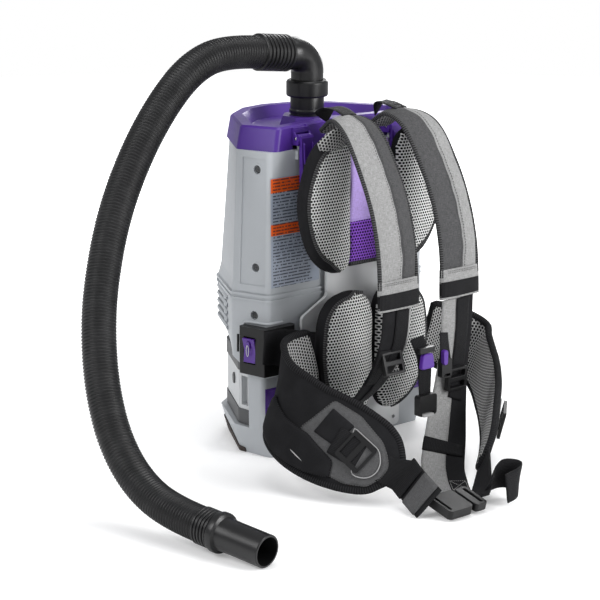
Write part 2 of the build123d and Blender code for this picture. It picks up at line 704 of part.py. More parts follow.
HIP_WING_RIGHT = [
    ((113, -151, 158), (0, 0, 1), 92),
    ((152, -157, 143), (0, -0.1, 1), 100),
    ((184, -184, 118), (0, -0.2, 1), 106),
    ((158, -236, 89), (0, -0.3, 1), 106),
    ((112, -290, 70), (0, -0.32, 1), 102),
    ((57, -341, 58), (0, -0.35, 1), 88),
    ((4, -386, 48), (0.1, -0.4, 1), 66),
    ((-18, -402, 43), (0.1, -0.45, 1), 52),
]
BELT_WEB_LEFT = [
    ((-145, -374, 46), (0.5, -0.1, 1), 56),
    ((-152, -406, 33), (0.5, -0.25, 1), 52),
    ((-157, -438, 20), (0.5, -0.5, 0.7), 48),
]
BELT_WEB_RIGHT = [
    ((-22, -406, 42), (0.1, -0.45, 1), 50),
    ((-42, -424, 30), (0.05, -0.7, 0.8), 46),
    ((-62, -440, 19), (0, -0.9, 0.5), 44),
    ((-80, -448, 15), (0, -0.97, 0.25), 44),
]
LOAD_LIFTER = [
    ((-57, -103.6, 492), (0.8, -0.3, -0.5), 24),
    ((-50, -116, 506), (1, -0.1, 0), 26),
    ((-48, -136, 507), (1, 0, 0), 26),
    ((-50, -158, 501.5), (1, 0, 0), 26),
]
SWITCH_STRAP = [
    ((-116, -118.5, 166), (0, 0, 1), 50),
    ((-111, -126, 163), (0, 0, 1), 50),
    ((-108, -134, 161), (0, 0, 1), 50),
]
STERNUM_LEFT = [
    ((-27, -277, 196), (0.8, -0.2, 0.2), 24),
    ((-22, -286, 165), (1, -0.2, 0.1), 24),
    ((-22, -289, 114), (1, 0, 0), 24),
]
STERNUM_RIGHT = [
    ((22, -281, 196), (0.8, 0.2, -0.2), 18),
    ((19, -286, 176), (1, 0.2, 0), 18),
    ((19, -287, 158), (1, 0, 0), 18),
]
UPPER_PAD = [(-112, 456), (-134, 405), (-136, 362), (-122, 314), (-98, 284), (-66, 273),
             (-47, 284), (-45, 330), (-45, 400), (-47, 456), (-80, 474)]
LUMBAR_PAD = [(-101, 200), (-104, 150), (-92, 96), (-60, 62), (-22, 58), (-6, 90), (-5, 160),
              (-8, 222), (-34, 244), (-72, 240), (-92, 224)]


def spine_mesh():
    panel = box(-39, 39, -150, -142, 280, 460)
    return fillet(panel.edges().filter_by(Axis.Y), 10)


def ladder_lock(centre, tilt, width=38.0):
    """Two-bar strap adjuster: a frame with two slots for the webbing."""
    frame = fillet(Box(width, 9, 34).edges().filter_by(Axis.Y), 3)
    frame -= Pos(0, 0, 8) * Box(width - 10, 12, 9)
    frame -= Pos(0, 0, -8) * Box(width - 10, 12, 9)
    return Pos(*centre) * Rot(tilt, 0, 0) * frame


def belt_frame(centre, direction, up, size):
    """Tri-glide: a wide flat frame with two slots, lying on the belt."""
    plate = fillet(Box(size[0], size[1], 4.5).edges().filter_by(Axis.Z), 4)
    for x in (-size[0] / 4, size[0] / 4):
        plate -= Pos(x, 0, 0) * Box(size[0] / 3.2, size[1] - 14, 10)
    return Plane(origin=centre, x_dir=direction, z_dir=up) * plate


def buckle_place():
    return Plane(origin=(-110, -448, 14.5), x_dir=(1, 0, 0), z_dir=(0, -0.25, 0.97))


def buckle_socket():
    shell = fillet(Box(44, 46, 13).edges().filter_by(Axis.Z), 6)
    shell -= Pos(8, 0, 0) * Box(40, 30, 7.5)
    shell -= Pos(-16, 0, 0) * Box(4, 34, 30)
    return buckle_place() * Pos(-17, 0, 0) * shell


def buckle_plug():
    base = fillet(Box(22, 46, 12).edges().filter_by(Axis.Z), 5) - Pos(3, 0, 0) * Box(5, 36, 30)
    prongs = [Pos(-22, y, 0) * Box(26, 6, 6) for y in (-10.5, 0, 10.5)]
    plug = base
    for prong in prongs:
        plug += prong
    return buckle_place() * Pos(21, 0, 0) * plug


def sternum_clips():
    left = fillet(Box(34, 11, 30).edges().filter_by(Axis.Y), 4) - Pos(0, 0, -12) * Box(24, 20, 4)
    right = fillet(Box(20, 9, 28).edges().filter_by(Axis.Y), 4) - Pos(0, 0, -10) * Box(13, 20, 4)
    return [Pos(-22, -291, 100) * left, Pos(19, -287.5, 146) * right]


# ---- write every node -------------------------------------------------------------------------
def main():
    os.makedirs("parts", exist_ok=True)
    chamber_front, chamber_rear = chamber_shells()
    save("chamber_front_shell", chamber_front)
    save("chamber_rear_shell", chamber_rear)
    lower_front, lower_rear = lower_shells()
    save("lower_front_shell", lower_front)
    save("lower_rear_shell", lower_rear)
    save("exhaust_louvres", louvres())
    save("accent_panels", *accent_panels())
    save("info_plate", box(-147, -56, FRONT - 0.7, FRONT, 254, 414))
    save("shell_screws", *side_screws())
    save("base_bumper", bumper())
    save("harness_plate", harness_plate())
    save("plate_screws", *plate_screws())
    save("filter_bag", filter_bag())
    save("bag_collar", bag_collar())
    save("dome_filter", dome_filter())
    save("motor_housing", motor_housing())
    save("motor_stator", motor_stator())
    save("rotor_bearings", *rotor_bearings())
    save("rotor_shaft", rotor_shaft())
    save("impeller", impeller())
    save("control_board", control_board())
    save("battery_contacts", battery_contacts())
    case, bands = battery_pieces()
    save("battery_case", *case)
    save("battery_end_caps", *bands)
    save("battery_cells", *battery_cells())
    save("gauge_button", gauge_button())
    save("battery_release", release_button())
    save("lid", lid())
    save("lid_gasket", lid_gasket())
    save("hose_port", hose_port())
    save("latch_pins", *latch_pins())
    save("lid_latch_left", latch(-LATCH_X))
    save("lid_latch_right", latch(LATCH_X))
    save("swivel_collar", swivel_collar())
    save("elbow", elbow())
    save("hose_cuff", hose_cuff())
    save("hose", hose())
    save("wand_cuff", wand_cuff())
    save("switch_housing", switch_housing())
    save("power_rocker", power_rocker())
    upper_pad = pad_solid(UPPER_PAD, PAD_BACK, PAD_FRONT, 8)
    lumbar_pad = pad_solid(LUMBAR_PAD, PAD_BACK, PAD_FRONT - 6, 8)
    strap = band_solid(SHOULDER_STRAP, STRAP_T)
    for side, shapes in zip(("left", "right"), zip(*[both_sides(s) for s in (upper_pad, lumbar_pad)])):
        save(f"upper_back_pad_{side}", shapes[0])
        save(f"lumbar_pad_{side}", shapes[1])
    save("shoulder_strap_left", strap)
    save("shoulder_strap_right", band_solid(mirrored(SHOULDER_STRAP), STRAP_T))
    save("spine_mesh", spine_mesh())
    save("lower_strap_left", band_solid(LOWER_STRAP_LEFT, 8))
    save("lower_strap_right", band_solid(LOWER_STRAP_RIGHT, 8))
    save("ladder_locks", ladder_lock((-64, -265.5, 163), -18), ladder_lock((50, -279, 123), 4))
    save("load_lifters", band_solid(LOAD_LIFTER, 3), band_solid(mirrored(LOAD_LIFTER), 3))
    save("hip_wing_left", band_solid(HIP_WING_LEFT, 14))
    save("hip_wing_right", band_solid(HIP_WING_RIGHT, 14))
    save("belt_webbing_left", band_solid(BELT_WEB_LEFT, 4))
    save("belt_webbing_right", band_solid(BELT_WEB_RIGHT, 4))
    save("belt_buckle_socket", buckle_socket())
    save("belt_buckle_plug", buckle_plug())
    save("belt_triglides",
         belt_frame((-186.6, -324.8, 71.6), (0.267, -0.766, -0.585), (-0.737, -0.554, 0.388), (42, 44)),
         belt_frame((100.5, -324, 60.5), (-0.74, -0.68, -0.15), (0.681, -0.696, -0.228), (50, 42)))
    save("switch_strap", band_solid(SWITCH_STRAP, 4))
    save("sternum_straps", band_solid(STERNUM_LEFT, 2.4), band_solid(STERNUM_RIGHT, 2.4))
    save("sternum_clips", *sternum_clips())


main()
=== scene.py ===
import json
import math

import bmesh
import bpy
import numpy as np
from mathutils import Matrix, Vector, noise
from mathutils.bvhtree import BVHTree


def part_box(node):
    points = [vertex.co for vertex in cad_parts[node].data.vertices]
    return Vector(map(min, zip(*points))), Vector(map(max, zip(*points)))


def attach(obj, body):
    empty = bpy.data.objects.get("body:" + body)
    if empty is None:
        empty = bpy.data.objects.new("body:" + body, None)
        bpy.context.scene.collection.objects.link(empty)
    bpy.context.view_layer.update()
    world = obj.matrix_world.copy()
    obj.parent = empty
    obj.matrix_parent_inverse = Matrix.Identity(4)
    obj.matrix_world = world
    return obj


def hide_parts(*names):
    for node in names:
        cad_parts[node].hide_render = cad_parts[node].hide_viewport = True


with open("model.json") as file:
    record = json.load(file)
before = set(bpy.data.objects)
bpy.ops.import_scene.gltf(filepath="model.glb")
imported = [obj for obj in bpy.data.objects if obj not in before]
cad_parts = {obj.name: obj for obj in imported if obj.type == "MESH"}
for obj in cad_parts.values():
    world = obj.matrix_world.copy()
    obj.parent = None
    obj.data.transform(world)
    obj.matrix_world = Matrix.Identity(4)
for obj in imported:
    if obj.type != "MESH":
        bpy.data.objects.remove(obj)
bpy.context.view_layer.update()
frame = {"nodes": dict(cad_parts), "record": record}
NODES = frame["nodes"]
TURN = 2 * math.pi
CREASE_SEED = 1794907747                # cloth creases the same way each run
noise.seed_set(CREASE_SEED)

# Metres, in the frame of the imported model: +Z up, -Y towards the wearer, left is -X.

# ---- routes and stations, the same places as the solids they stand for ---------------------------
HOSE_RADIUS = 0.024
HOSE_ROUTE = [
    (-0.09547, -0.01, 0.58003),
    (-0.15514, -0.01, 0.58631),
    (-0.213, -0.012, 0.571),
    (-0.268, -0.018, 0.53),
    (-0.329, -0.03, 0.464),
    (-0.385, -0.048, 0.383),
    (-0.428, -0.074, 0.292),
    (-0.452, -0.101, 0.228),
    (-0.467, -0.13, 0.166),
    (-0.475, -0.166, 0.109),
    (-0.474, -0.211, 0.064),
    (-0.46701, -0.26878, 0.03724),
    (-0.45809, -0.32984, 0.03191),
]
# Bands: (centre, side direction, width)
SHOULDER_STRAP = [
    ((-0.047, -0.119, 0.476), (1, 0, 0), 0.05),
    ((-0.05, -0.15, 0.494), (1, 0, 0), 0.054),
    ((-0.056, -0.19, 0.481), (1, 0, 0), 0.068),
    ((-0.058, -0.227, 0.431), (1, 0, 0), 0.072),
    ((-0.059, -0.254, 0.375), (1, 0, 0), 0.072),
    ((-0.06, -0.269, 0.312), (1, 0, 0), 0.073),
    ((-0.06, -0.273, 0.242), (1, 0, 0), 0.074),
]
LOWER_STRAP_LEFT = [
    ((-0.06, -0.272, 0.24), (1, 0, 0), 0.058),
    ((-0.061, -0.267, 0.195), (1, 0, 0), 0.056),
    ((-0.066, -0.25, 0.15), (1, 0, 0.1), 0.054),
    ((-0.076, -0.226, 0.112), (1, 0, 0.2), 0.052),
    ((-0.086, -0.196, 0.082), (1, 0, 0.2), 0.05),
    ((-0.09, -0.177, 0.064), (1, 0, 0.2), 0.048),
]
LOWER_STRAP_RIGHT = [
    ((0.06, -0.273, 0.24), (1, 0, 0), 0.058),
    ((0.061, -0.27, 0.19), (1, 0, 0), 0.06),
    ((0.056, -0.268, 0.132), (1, 0, 0), 0.066),
    ((0.038, -0.28, 0.084), (1, -0.1, 0), 0.07),
    ((0.006, -0.306, 0.044), (1, -0.3, 0), 0.066),
    ((-0.028, -0.336, 0.022), (1, -0.6, 0), 0.058),
    ((-0.054, -0.368, 0.012), (1, -0.7, 0), 0.054),
    ((-0.074, -0.396, 0.008), (1, -0.8, 0), 0.05),
]
HIP_WING_LEFT = [
    ((-0.113, -0.151, 0.155), (0, 0, 1), 0.092),
    ((-0.165, -0.153, 0.14), (0.1, -0.1, 1), 0.112),
    ((-0.2, -0.186, 0.116), (0.25, -0.1, 1), 0.122),
    ((-0.206, -0.24, 0.094), (0.4, -0.05, 1), 0.126),
    ((-0.188, -0.3, 0.076), (0.5, 0, 1), 0.124),
    ((-0.16, -0.35, 0.058), (0.55, 0, 1), 0.096),
    ((-0.148, -0.37, 0.048), (0.55, 0, 1), 0.064),
]
HIP_WING_RIGHT = [
    ((0.113, -0.151, 0.158), (0, 0, 1), 0.092),
    ((0.152, -0.157, 0.143), (0, -0.1, 1), 0.1),
    ((0.184, -0.184, 0.118), (0, -0.2, 1), 0.106),
    ((0.158, -0.236, 0.089), (0, -0.3, 1), 0.106),
    ((0.112, -0.29, 0.07), (0, -0.32, 1), 0.102),
    ((0.057, -0.341, 0.058), (0, -0.35, 1), 0.088),
    ((0.004, -0.386, 0.048), (0.1, -0.4, 1), 0.066),
    ((-0.018, -0.402, 0.043), (0.1, -0.45, 1), 0.052),
]
BELT_WEB_LEFT = [
    ((-0.145, -0.374, 0.046), (0.5, -0.1, 1), 0.056),
    ((-0.152, -0.406, 0.033), (0.5, -0.25, 1), 0.052),
    ((-0.157, -0.438, 0.02), (0.5, -0.5, 0.7), 0.048),
]
BELT_WEB_RIGHT = [
    ((-0.015, -0.4, 0.044), (0.1, -0.45, 1), 0.05),
    ((-0.042, -0.424, 0.03), (0.05, -0.7, 0.8), 0.046),
    ((-0.062, -0.44, 0.0195), (0, -0.9, 0.5), 0.044),
    ((-0.08, -0.448, 0.015), (0, -0.97, 0.25), 0.044),
]
BELT_LOOP = [
    ((-0.068, -0.458, 0.026), (0, -0.6, 0.8), 0.03),
    ((-0.046, -0.447, 0.033), (0.05, -0.35, 1), 0.04),
    ((-0.022, -0.445, 0.036), (0.1, -0.15, 1), 0.042),
    ((-0.01, -0.46, 0.034), (0.15, -0.1, 1), 0.042),
    ((-0.022, -0.472, 0.03), (0.1, 0, 1), 0.042),
    ((-0.046, -0.4745, 0.026), (0.1, 0, 1), 0.042),
]
LOAD_LIFTER = [
    ((-0.057, -0.1036, 0.492), (0.8, -0.3, -0.5), 0.024),
    ((-0.05, -0.116, 0.506), (1, -0.1, 0), 0.026),
    ((-0.048, -0.136, 0.507), (1, 0, 0), 0.026),
    ((-0.05, -0.158, 0.5015), (1, 0, 0), 0.026),
]
SWITCH_STRAP = [
    ((-0.15, -0.1135, 0.174), (0, 0, 1), 0.06),
    ((-0.132, -0.12, 0.171), (0, 0, 1), 0.056),
    ((-0.11, -0.13, 0.167), (0, 0, 1), 0.044),
    ((-0.094, -0.14, 0.164), (0, 0, 1), 0.03),
]
STRAP_TAIL = [
    ((-0.089, -0.174, 0.056), (1, 0, 0.2), 0.034),
    ((-0.093, -0.17, 0.03), (1, 0.2, 0), 0.034),
    ((-0.108, -0.186, 0.0115), (0.85, -0.5, 0), 0.034),
    ((-0.13, -0.206, 0.006), (0.65, -0.8, 0), 0.032),
    ((-0.153, -0.222, 0.006), (0.6, -0.8, 0), 0.032),
    ((-0.168, -0.23, 0.0085), (0.55, -0.8, 0), 0.032),
]
STERNUM_LEFT = [
    ((-0.027, -0.277, 0.196), (0.8, -0.2, 0.2), 0.024),
    ((-0.022, -0.286, 0.165), (1, -0.2, 0.1), 0.024),
    ((-0.022, -0.289, 0.114), (1, 0, 0), 0.024),
]
STERNUM_RIGHT = [
    ((0.022, -0.281, 0.196), (0.8, 0.2, -0.2), 0.018),
    ((0.019, -0.286, 0.176), (1, 0.2, 0), 0.018),
    ((0.019, -0.287, 0.158), (1, 0, 0), 0.018),
]
SWITCH_WRAP = [
    ((-0.175, -0.1165, 0.174), (0.05, 0, 1), 0.048),
    ((-0.15, -0.1172, 0.171), (0.05, 0, 1), 0.052),
    ((-0.13, -0.1185, 0.167), (0, 0, 1), 0.056),
    ((-0.11, -0.1245, 0.166), (0, 0, 1), 0.042),
    ((-0.09, -0.136, 0.165), (0, 0, 1), 0.026),
]
# x, y, z, how far the side direction leans in x, width
PAD_EAR = [
    (-0.108, -0.158, 0.462, 0.1, 0.012),
    (-0.092, -0.165, 0.468, 0, 0.03),
    (-0.074, -0.166, 0.473, 0, 0.036),
    (-0.058, -0.16, 0.474, 0, 0.036),
]
# Pad outlines in (x, z), for the left side
UPPER_PAD = [(-0.112, 0.456), (-0.134, 0.405), (-0.136, 0.362), (-0.122, 0.314), (-0.098, 0.284),
             (-0.066, 0.273), (-0.047, 0.284), (-0.045, 0.330), (-0.045, 0.400), (-0.047, 0.456),
             (-0.080, 0.474)]
LUMBAR_PAD = [(-0.101, 0.200), (-0.104, 0.150), (-0.092, 0.096), (-0.060, 0.062), (-0.022, 0.058),
              (-0.006, 0.090), (-0.005, 0.160), (-0.008, 0.222), (-0.034, 0.244), (-0.072, 0.240),
              (-0.092, 0.224)]


# ---- materials -----------------------------------------------------------------------------------
FINISHES = {}


def put(target, **settings):
    """Set several attributes at once."""
    for key, value in settings.items():
        setattr(target, key, value)
    return target


class Finish:
    """A node material on one Principled shader. Pattern coordinates are in metres."""

    def __init__(self, name, roughness, **sockets):
        FINISHES[name] = bpy.data.materials.new(name)
        FINISHES[name].use_nodes = True
        self.tree = FINISHES[name].node_tree
        self.shader = self.tree.nodes["Principled BSDF"]
        self.shader.inputs["Roughness"].default_value = roughness
        for socket, value in sockets.items():
            self.shader.inputs[socket.replace("_", " ")].default_value = value

    def node(self, kind, inputs=None, **settings):
        node = put(self.tree.nodes.new("ShaderNode" + kind), **settings)
        for socket, value in (inputs or {}).items():
            if isinstance(value, bpy.types.NodeSocket):
                self.tree.links.new(value, node.inputs[socket])
            else:
                node.inputs[socket].default_value = value
        return node

    def math(self, operation, a, b=0.0, c=0.0):
        return self.node("Math", {0: a, 1: b, 2: c}, operation=operation).outputs[0]

    def add(self, a, b):
        return self.math("ADD", a, b)

    def sub(self, a, b):
        return self.math("SUBTRACT", a, b)

    def mul(self, a, b):
        return self.math("MULTIPLY", a, b)

    def wave(self, value, pitch):
        """A sine wave, one cycle to each pitch."""
        return self.math("SINE", self.mul(value, TURN / pitch))

    def place(self):
        """Position in the object's own frame."""
        return self.node("TexCoord").outputs["Object"]

    def axes(self, vector):
        return self.node("SeparateXYZ", {0: vector}).outputs

    def cloth(self):
        """Metres across and along a strap, as a vector."""
        return self.node("UVMap", uv_map="cloth").outputs[0]

    def stretched(self, vector, scale):
        return self.node("Mapping", {0: vector, 3: scale}).outputs[0]

    def noise(self, vector, scale, detail=2.0):
        return self.node("TexNoise", {"Vector": vector, "Scale": scale, "Detail": detail}).outputs[0]

    def between(self, value, low, high):
        """0 below low and 1 above high."""
        return self.node("MapRange", {0: value, 1: low, 2: high}, interpolation_type="SMOOTHSTEP").outputs[0]

    def blend(self, share, a, b):
        return self.node("Mix", {0: share, 6: a, 7: b}, data_type="RGBA").outputs[2]

    def shades(self, share, colour, dark, pale):
        """From a darker to a paler shade of a colour."""
        return self.blend(share, rgba(colour, dark), rgba(colour, pale))

    def colour(self, value):
        self.tree.links.new(value, self.shader.inputs["Base Color"])

    def rough(self, value, low, high):
        spread = self.node("MapRange", {0: value, 3: low, 4: high}).outputs[0]
        self.tree.links.new(spread, self.shader.inputs["Roughness"])

    def bump(self, height, strength, distance):
        node = self.node("Bump", {"Height": height, "Strength": strength, "Distance": distance})
        self.tree.links.new(node.outputs[0], self.shader.inputs["Normal"])


def rgba(colour, gain=1.0):
    """A colour made darker or paler, and opaque."""
    return (*[min(1.0, channel * gain) for channel in colour], 1.0)


def moulded(name, colour, roughness, grain=0.00012, scuffs=0.5, **sockets):
    """Moulded plastic: spark-eroded grain, faint flow marks and rubbed patches."""
    f = Finish(name, roughness, **sockets)
    place = f.place()
    clouds = f.noise(place, 9.0, 4.0)
    rubbed = f.between(f.noise(place, 46.0, 6.0), 0.55, 0.8)
    tone = f.shades(clouds, colour, 0.93, 1.07)
    f.colour(f.blend(f.mul(rubbed, 0.12 * scuffs), tone, rgba(colour, 1.5)))
    f.rough(f.noise(place, 120.0, 4.0), roughness - 0.07, roughness + 0.09)
    f.bump(f.noise(place, 1900.0, 2.0), 0.35, grain)


def metal(name, colour, roughness):
    """Brushed metal."""
    f = Finish(name, roughness, Metallic=1.0)
    brushed = f.noise(f.stretched(f.place(), (900.0, 60.0, 900.0)), 1.0, 3.0)
    f.colour(f.shades(brushed, colour, 0.85, 1.1))
    f.rough(brushed, roughness - 0.08, roughness + 0.12)
    f.bump(brushed, 0.2, 0.00005)


def hose_plastic():
    """Blow-moulded hose: patches of paler dust and of smoother and rougher plastic."""
    f = Finish("hose_black", 0.42, Specular_IOR_Level=0.32)
    place = f.place()
    dust = f.between(f.noise(place, 38.0, 5.0), 0.45, 0.75)
    f.colour(f.blend(f.mul(dust, 0.5), (0.0065, 0.0065, 0.007, 1), (0.024, 0.024, 0.025, 1)))
    f.rough(f.noise(place, 90.0, 4.0), 0.34, 0.5)
    f.bump(f.noise(place, 1500.0, 2.0), 0.25, 0.0001)


def spacer_mesh(name, thread, hole_shade, flat=True):
    """Open knitted mesh: round holes in staggered rows, painted near-black as the shade inside them."""
    pitch, first = 0.0048, 4000.0       # first keeps the numbers of rows and columns above zero
    f = Finish(name, 0.85, Specular_IOR_Level=0.12)
    axes = f.axes(f.place()) if flat else f.axes(f.cloth())
    across, along = (axes[0], axes[2]) if flat else (axes[0], axes[1])
    row = f.math("DIVIDE", along, pitch * 0.9)
    shift = f.mul(f.math("MODULO", f.math("FLOOR", f.add(row, first)), 2.0), 0.5)
    column = f.add(f.math("DIVIDE", across, pitch), shift)
    x = f.sub(f.math("FRACT", f.add(column, first)), 0.5)
    y = f.sub(f.math("FRACT", f.add(row, first)), 0.5)
    far = f.math("SQRT", f.add(f.mul(x, x), f.mul(y, y)))
    open_share = f.between(far, 0.42, 0.33)
    strands = f.noise(f.place(), 1400.0, 2.0)
    clouds = f.noise(f.place(), 26.0, 3.0)
    knit = f.blend(strands, rgba(thread, 0.72), rgba(thread, 1.18))
    knit = f.blend(f.mul(clouds, 0.35), knit, rgba(thread, 0.6))
    # painted shade: the holes take the near-black hole colour, standing for the shade inside them
    f.colour(f.blend(open_share, knit, rgba(hole_shade)))
    height = f.sub(f.mul(strands, 0.25), open_share)
    f.bump(height, 0.9, 0.0012)


def woven(name, colour, contrast):
    """Plain-woven melange cloth with threads both ways."""
    pitch, long, short = 0.0011, 140.0, 1500.0
    f = Finish(name, 0.88, Specular_IOR_Level=0.12)
    cloth = f.cloth()
    warp = f.noise(f.stretched(cloth, (short, long, 1.0)), 1.0, 2.0)
    weft = f.noise(f.stretched(cloth, (long, short, 1.0)), 1.0, 2.0)
    threads = f.mul(f.add(warp, weft), 0.5)
    mottled = f.between(threads, 0.36, 0.64)
    tone = f.shades(mottled, colour, 1 - contrast, 1 + contrast)
    worn = f.between(f.noise(f.place(), 30.0, 4.0), 0.5, 0.8)
    f.colour(f.blend(f.mul(worn, 0.25), tone, rgba(colour, 1.35)))
    over, under = [f.wave(axis, pitch) for axis in f.axes(cloth)[:2]]
    f.bump(f.add(f.mul(over, under), threads), 0.6, 0.0003)


def webbing(name, colour):
    """Ribbed strap webbing: cords along it with a fine herringbone across."""
    cord_pitch, bone_pitch, bone_lean = 0.0022, 0.0013, 0.0009
    f = Finish(name, 0.62, Specular_IOR_Level=0.12)
    axes = f.axes(f.cloth())
    rib = f.wave(axes[0], cord_pitch)
    bone = f.wave(f.add(f.mul(f.math("ABSOLUTE", rib), bone_lean), axes[1]), bone_pitch)
    height = f.add(rib, f.mul(bone, 0.45))
    lit_crest = f.between(height, -0.6, 1.2)
    worn = f.noise(f.place(), 60.0, 4.0)
    # painted light: the cord crests are coloured paler as a painted highlight and the grooves between them
    # darker as painted shade
    tone = f.shades(lit_crest, colour, 0.45, 1.7)
    f.colour(f.blend(f.mul(worn, 0.3), tone, rgba(colour, 2.2)))
    f.bump(height, 0.7, 0.00045)


def brushed_cloth(name, colour):
    """Soft brushed nylon laminate with a short nap."""
    f = Finish(name, 0.9, Specular_IOR_Level=0.1)
    place = f.place()
    nap = f.noise(place, 700.0, 4.0)
    clouds = f.between(f.noise(place, 34.0, 5.0), 0.35, 0.75)
    tone = f.shades(nap, colour, 0.6, 1.5)
    f.colour(f.blend(f.mul(clouds, 0.4), tone, rgba(colour, 1.9)))
    f.bump(nap, 0.5, 0.0004)


def binding_tape(name, colour):
    """Ribbed binding folded over an edge and overstitched."""
    f = Finish(name, 0.85, Specular_IOR_Level=0.12)
    stitch_pitch = 0.0034
    stitch = f.wave(f.axes(f.cloth())[1], stitch_pitch)
    threads = f.noise(f.stretched(f.cloth(), (900.0, 900.0, 1.0)), 1.0, 2.0)
    height = f.add(stitch, threads)
    # painted light: the raised stitches are coloured paler as a painted highlight and the dips darker as
    # painted shade, over random thread grain
    f.colour(f.shades(f.between(height, 0.2, 1.3), colour, 0.55, 1.9))
    f.bump(height, 0.6, 0.0006)


def label_film():
    """Printed label: two plain orange bands and rows of dark strokes that spell nothing."""
    row_pitch, margin = 0.0046, -0.1435
    f = Finish("label_face", 0.3)
    axes = f.axes(f.place())
    x, z = axes[0], axes[2]
    row = f.math("DIVIDE", z, row_pitch)
    line = f.math("FLOOR", row)
    in_row = f.math("LESS_THAN", f.math("FRACT", row), 0.42)
    spot = f.node("CombineXYZ", {0: f.mul(x, 330.0), 1: f.mul(line, 7.3)})
    word = f.math("GREATER_THAN", f.noise(spot.outputs[0], 1.0, 1.0), 0.42)
    length = f.noise(f.node("CombineXYZ", {1: f.mul(line, 3.7)}).outputs[0], 1.0, 0.0)
    stop = f.math("MULTIPLY_ADD", length, 0.05, -0.098)
    inside = f.mul(f.math("LESS_THAN", x, stop), f.math("GREATER_THAN", x, margin))
    ink = f.mul(f.mul(in_row, word), inside)

    def band(low, high):
        return f.mul(f.math("GREATER_THAN", z, low), f.math("LESS_THAN", z, high))

    orange = f.math("MAXIMUM", band(0.392, 0.4125), band(0.330, 0.3465))
    film = f.blend(f.noise(f.place(), 16.0, 3.0), (0.27, 0.31, 0.38, 1), (0.36, 0.40, 0.47, 1))
    ground = f.blend(orange, film, (0.78, 0.115, 0.016, 1))
    f.colour(f.blend(f.mul(ink, 0.88), ground, (0.02, 0.022, 0.035, 1)))
    f.rough(f.noise(f.place(), 200.0, 3.0), 0.25, 0.4)


GREY, LIGHT_GREY = (0.40, 0.42, 0.44), (0.50, 0.515, 0.525)
PURPLE, DEEP_PURPLE = (0.064, 0.021, 0.225), (0.075, 0.018, 0.25)
BLACK, CHARCOAL, STRAP_GREY = (0.0105, 0.0105, 0.0115), (0.075, 0.075, 0.077), (0.29, 0.29, 0.288)


def make_finishes():
    """Every material, under the name that the record's slots and the pieces ask for."""
    moulded("housing_grey", GREY, 0.42, Specular_IOR_Level=0.45)
    moulded("battery_grey", LIGHT_GREY, 0.45)
    moulded("plate_grey", (0.6, 0.61, 0.615), 0.45)
    moulded("lid_purple", PURPLE, 0.36, 0.00008, Specular_IOR_Level=0.42)
    moulded("accent_purple", DEEP_PURPLE, 0.33, 0.00008)
    moulded("dark_grey_plastic", (0.06, 0.062, 0.065), 0.48)
    moulded("black_plastic", (0.0085, 0.0085, 0.009), 0.36, 0.0001, 1.0, Specular_IOR_Level=0.3)
    moulded("black_gloss", (0.009, 0.009, 0.0095), 0.3, 0.00006, 1.0, Specular_IOR_Level=0.4)
    moulded("rubber_brown", (0.035, 0.024, 0.02), 0.7, 0.0002)
    moulded("seal_rubber", (0.02, 0.02, 0.02), 0.75, 0.0002)
    moulded("paper", (0.72, 0.66, 0.55), 0.9, 0.0003)
    moulded("filter_cloth", (0.66, 0.66, 0.63), 0.9, 0.0003)
    moulded("board_green", (0.015, 0.13, 0.05), 0.4)
    moulded("cell_sleeve", (0.06, 0.22, 0.32), 0.3)
    metal("screw_steel", (0.5, 0.5, 0.5), 0.38)
    metal("bright_steel", (0.6, 0.6, 0.6), 0.25)
    metal("copper", (0.7, 0.33, 0.18), 0.35)
    label_film()
    hose_plastic()
    spacer_mesh("pad_mesh", (0.80, 0.80, 0.79), (0.012, 0.012, 0.012))
    spacer_mesh("strap_mesh", (0.42, 0.42, 0.415), (0.01, 0.01, 0.01), flat=False)
    spacer_mesh("mesh_purple", (0.31, 0.11, 0.68), (0.025, 0.008, 0.06))
    woven("lavender", (0.50, 0.37, 0.78), 0.15)
    woven("strap_fabric", STRAP_GREY, 0.25)
    woven("charcoal_fabric", CHARCOAL, 0.3)
    brushed_cloth("black_fabric", BLACK)
    webbing("webbing_black", BLACK)
    woven("panel_grey", (0.085, 0.085, 0.087), 0.2)
    moulded("zip_grey", (0.3, 0.3, 0.3), 0.5)
    binding_tape("binding", (0.04, 0.04, 0.041))
    binding_tape("black_binding", BLACK)
    woven("thread", (0.10, 0.10, 0.10), 0.2)
    woven("pale_thread", (0.42, 0.42, 0.41), 0.2)


# ---- mesh helpers --------------------------------------------------------------------------------
def unit(vectors):
    return vectors / np.maximum(np.linalg.norm(vectors, axis=-1, keepdims=True), 1e-12)


def lengths(points):
    """How far along a line each of its points lies."""
    steps = np.linalg.norm(np.diff(np.asarray(points, float), axis=0), axis=1)
    return np.concatenate([[0], np.cumsum(steps)])


def sample(at, along, rows):
    """Rows of numbers read off at places between the given ones."""
    return np.stack([np.interp(at, along, column) for column in np.asarray(rows, float).T], axis=-1)


def arch(a, b, slope_a, slope_b, gap=1.0):
    """Rows from a nearly to b, gap apart, on a smooth line with the given slopes at its ends."""
    s = np.linspace(0, 1, 40, endpoint=False)[:, None]
    return ((2 * s**3 - 3 * s**2 + 1) * a + (s**3 - 2 * s**2 + s) * gap * slope_a
            + (3 * s**2 - 2 * s**3) * b + (s**3 - s**2) * gap * slope_b)


def smoothed(rows, step):
    """Rows of numbers that start with x, y, z, joined by a smooth line and evenly spaced again."""
    t = lengths(rows[:, :3])
    last = len(rows) - 1
    slopes = []
    for i in range(last + 1):
        ahead, behind = min(i + 1, last), max(i - 1, 0)
        slopes.append((rows[ahead] - rows[behind]) / (t[ahead] - t[behind]))
    fine = [arch(rows[i], rows[i + 1], slopes[i], slopes[i + 1], t[i + 1] - t[i]) for i in range(last)]
    fine = np.concatenate([*fine, rows[-1:]])
    along = lengths(fine[:, :3])
    at = np.linspace(0, along[-1], max(3, int(along[-1] / step) + 1))
    return sample(at, along, fine), at


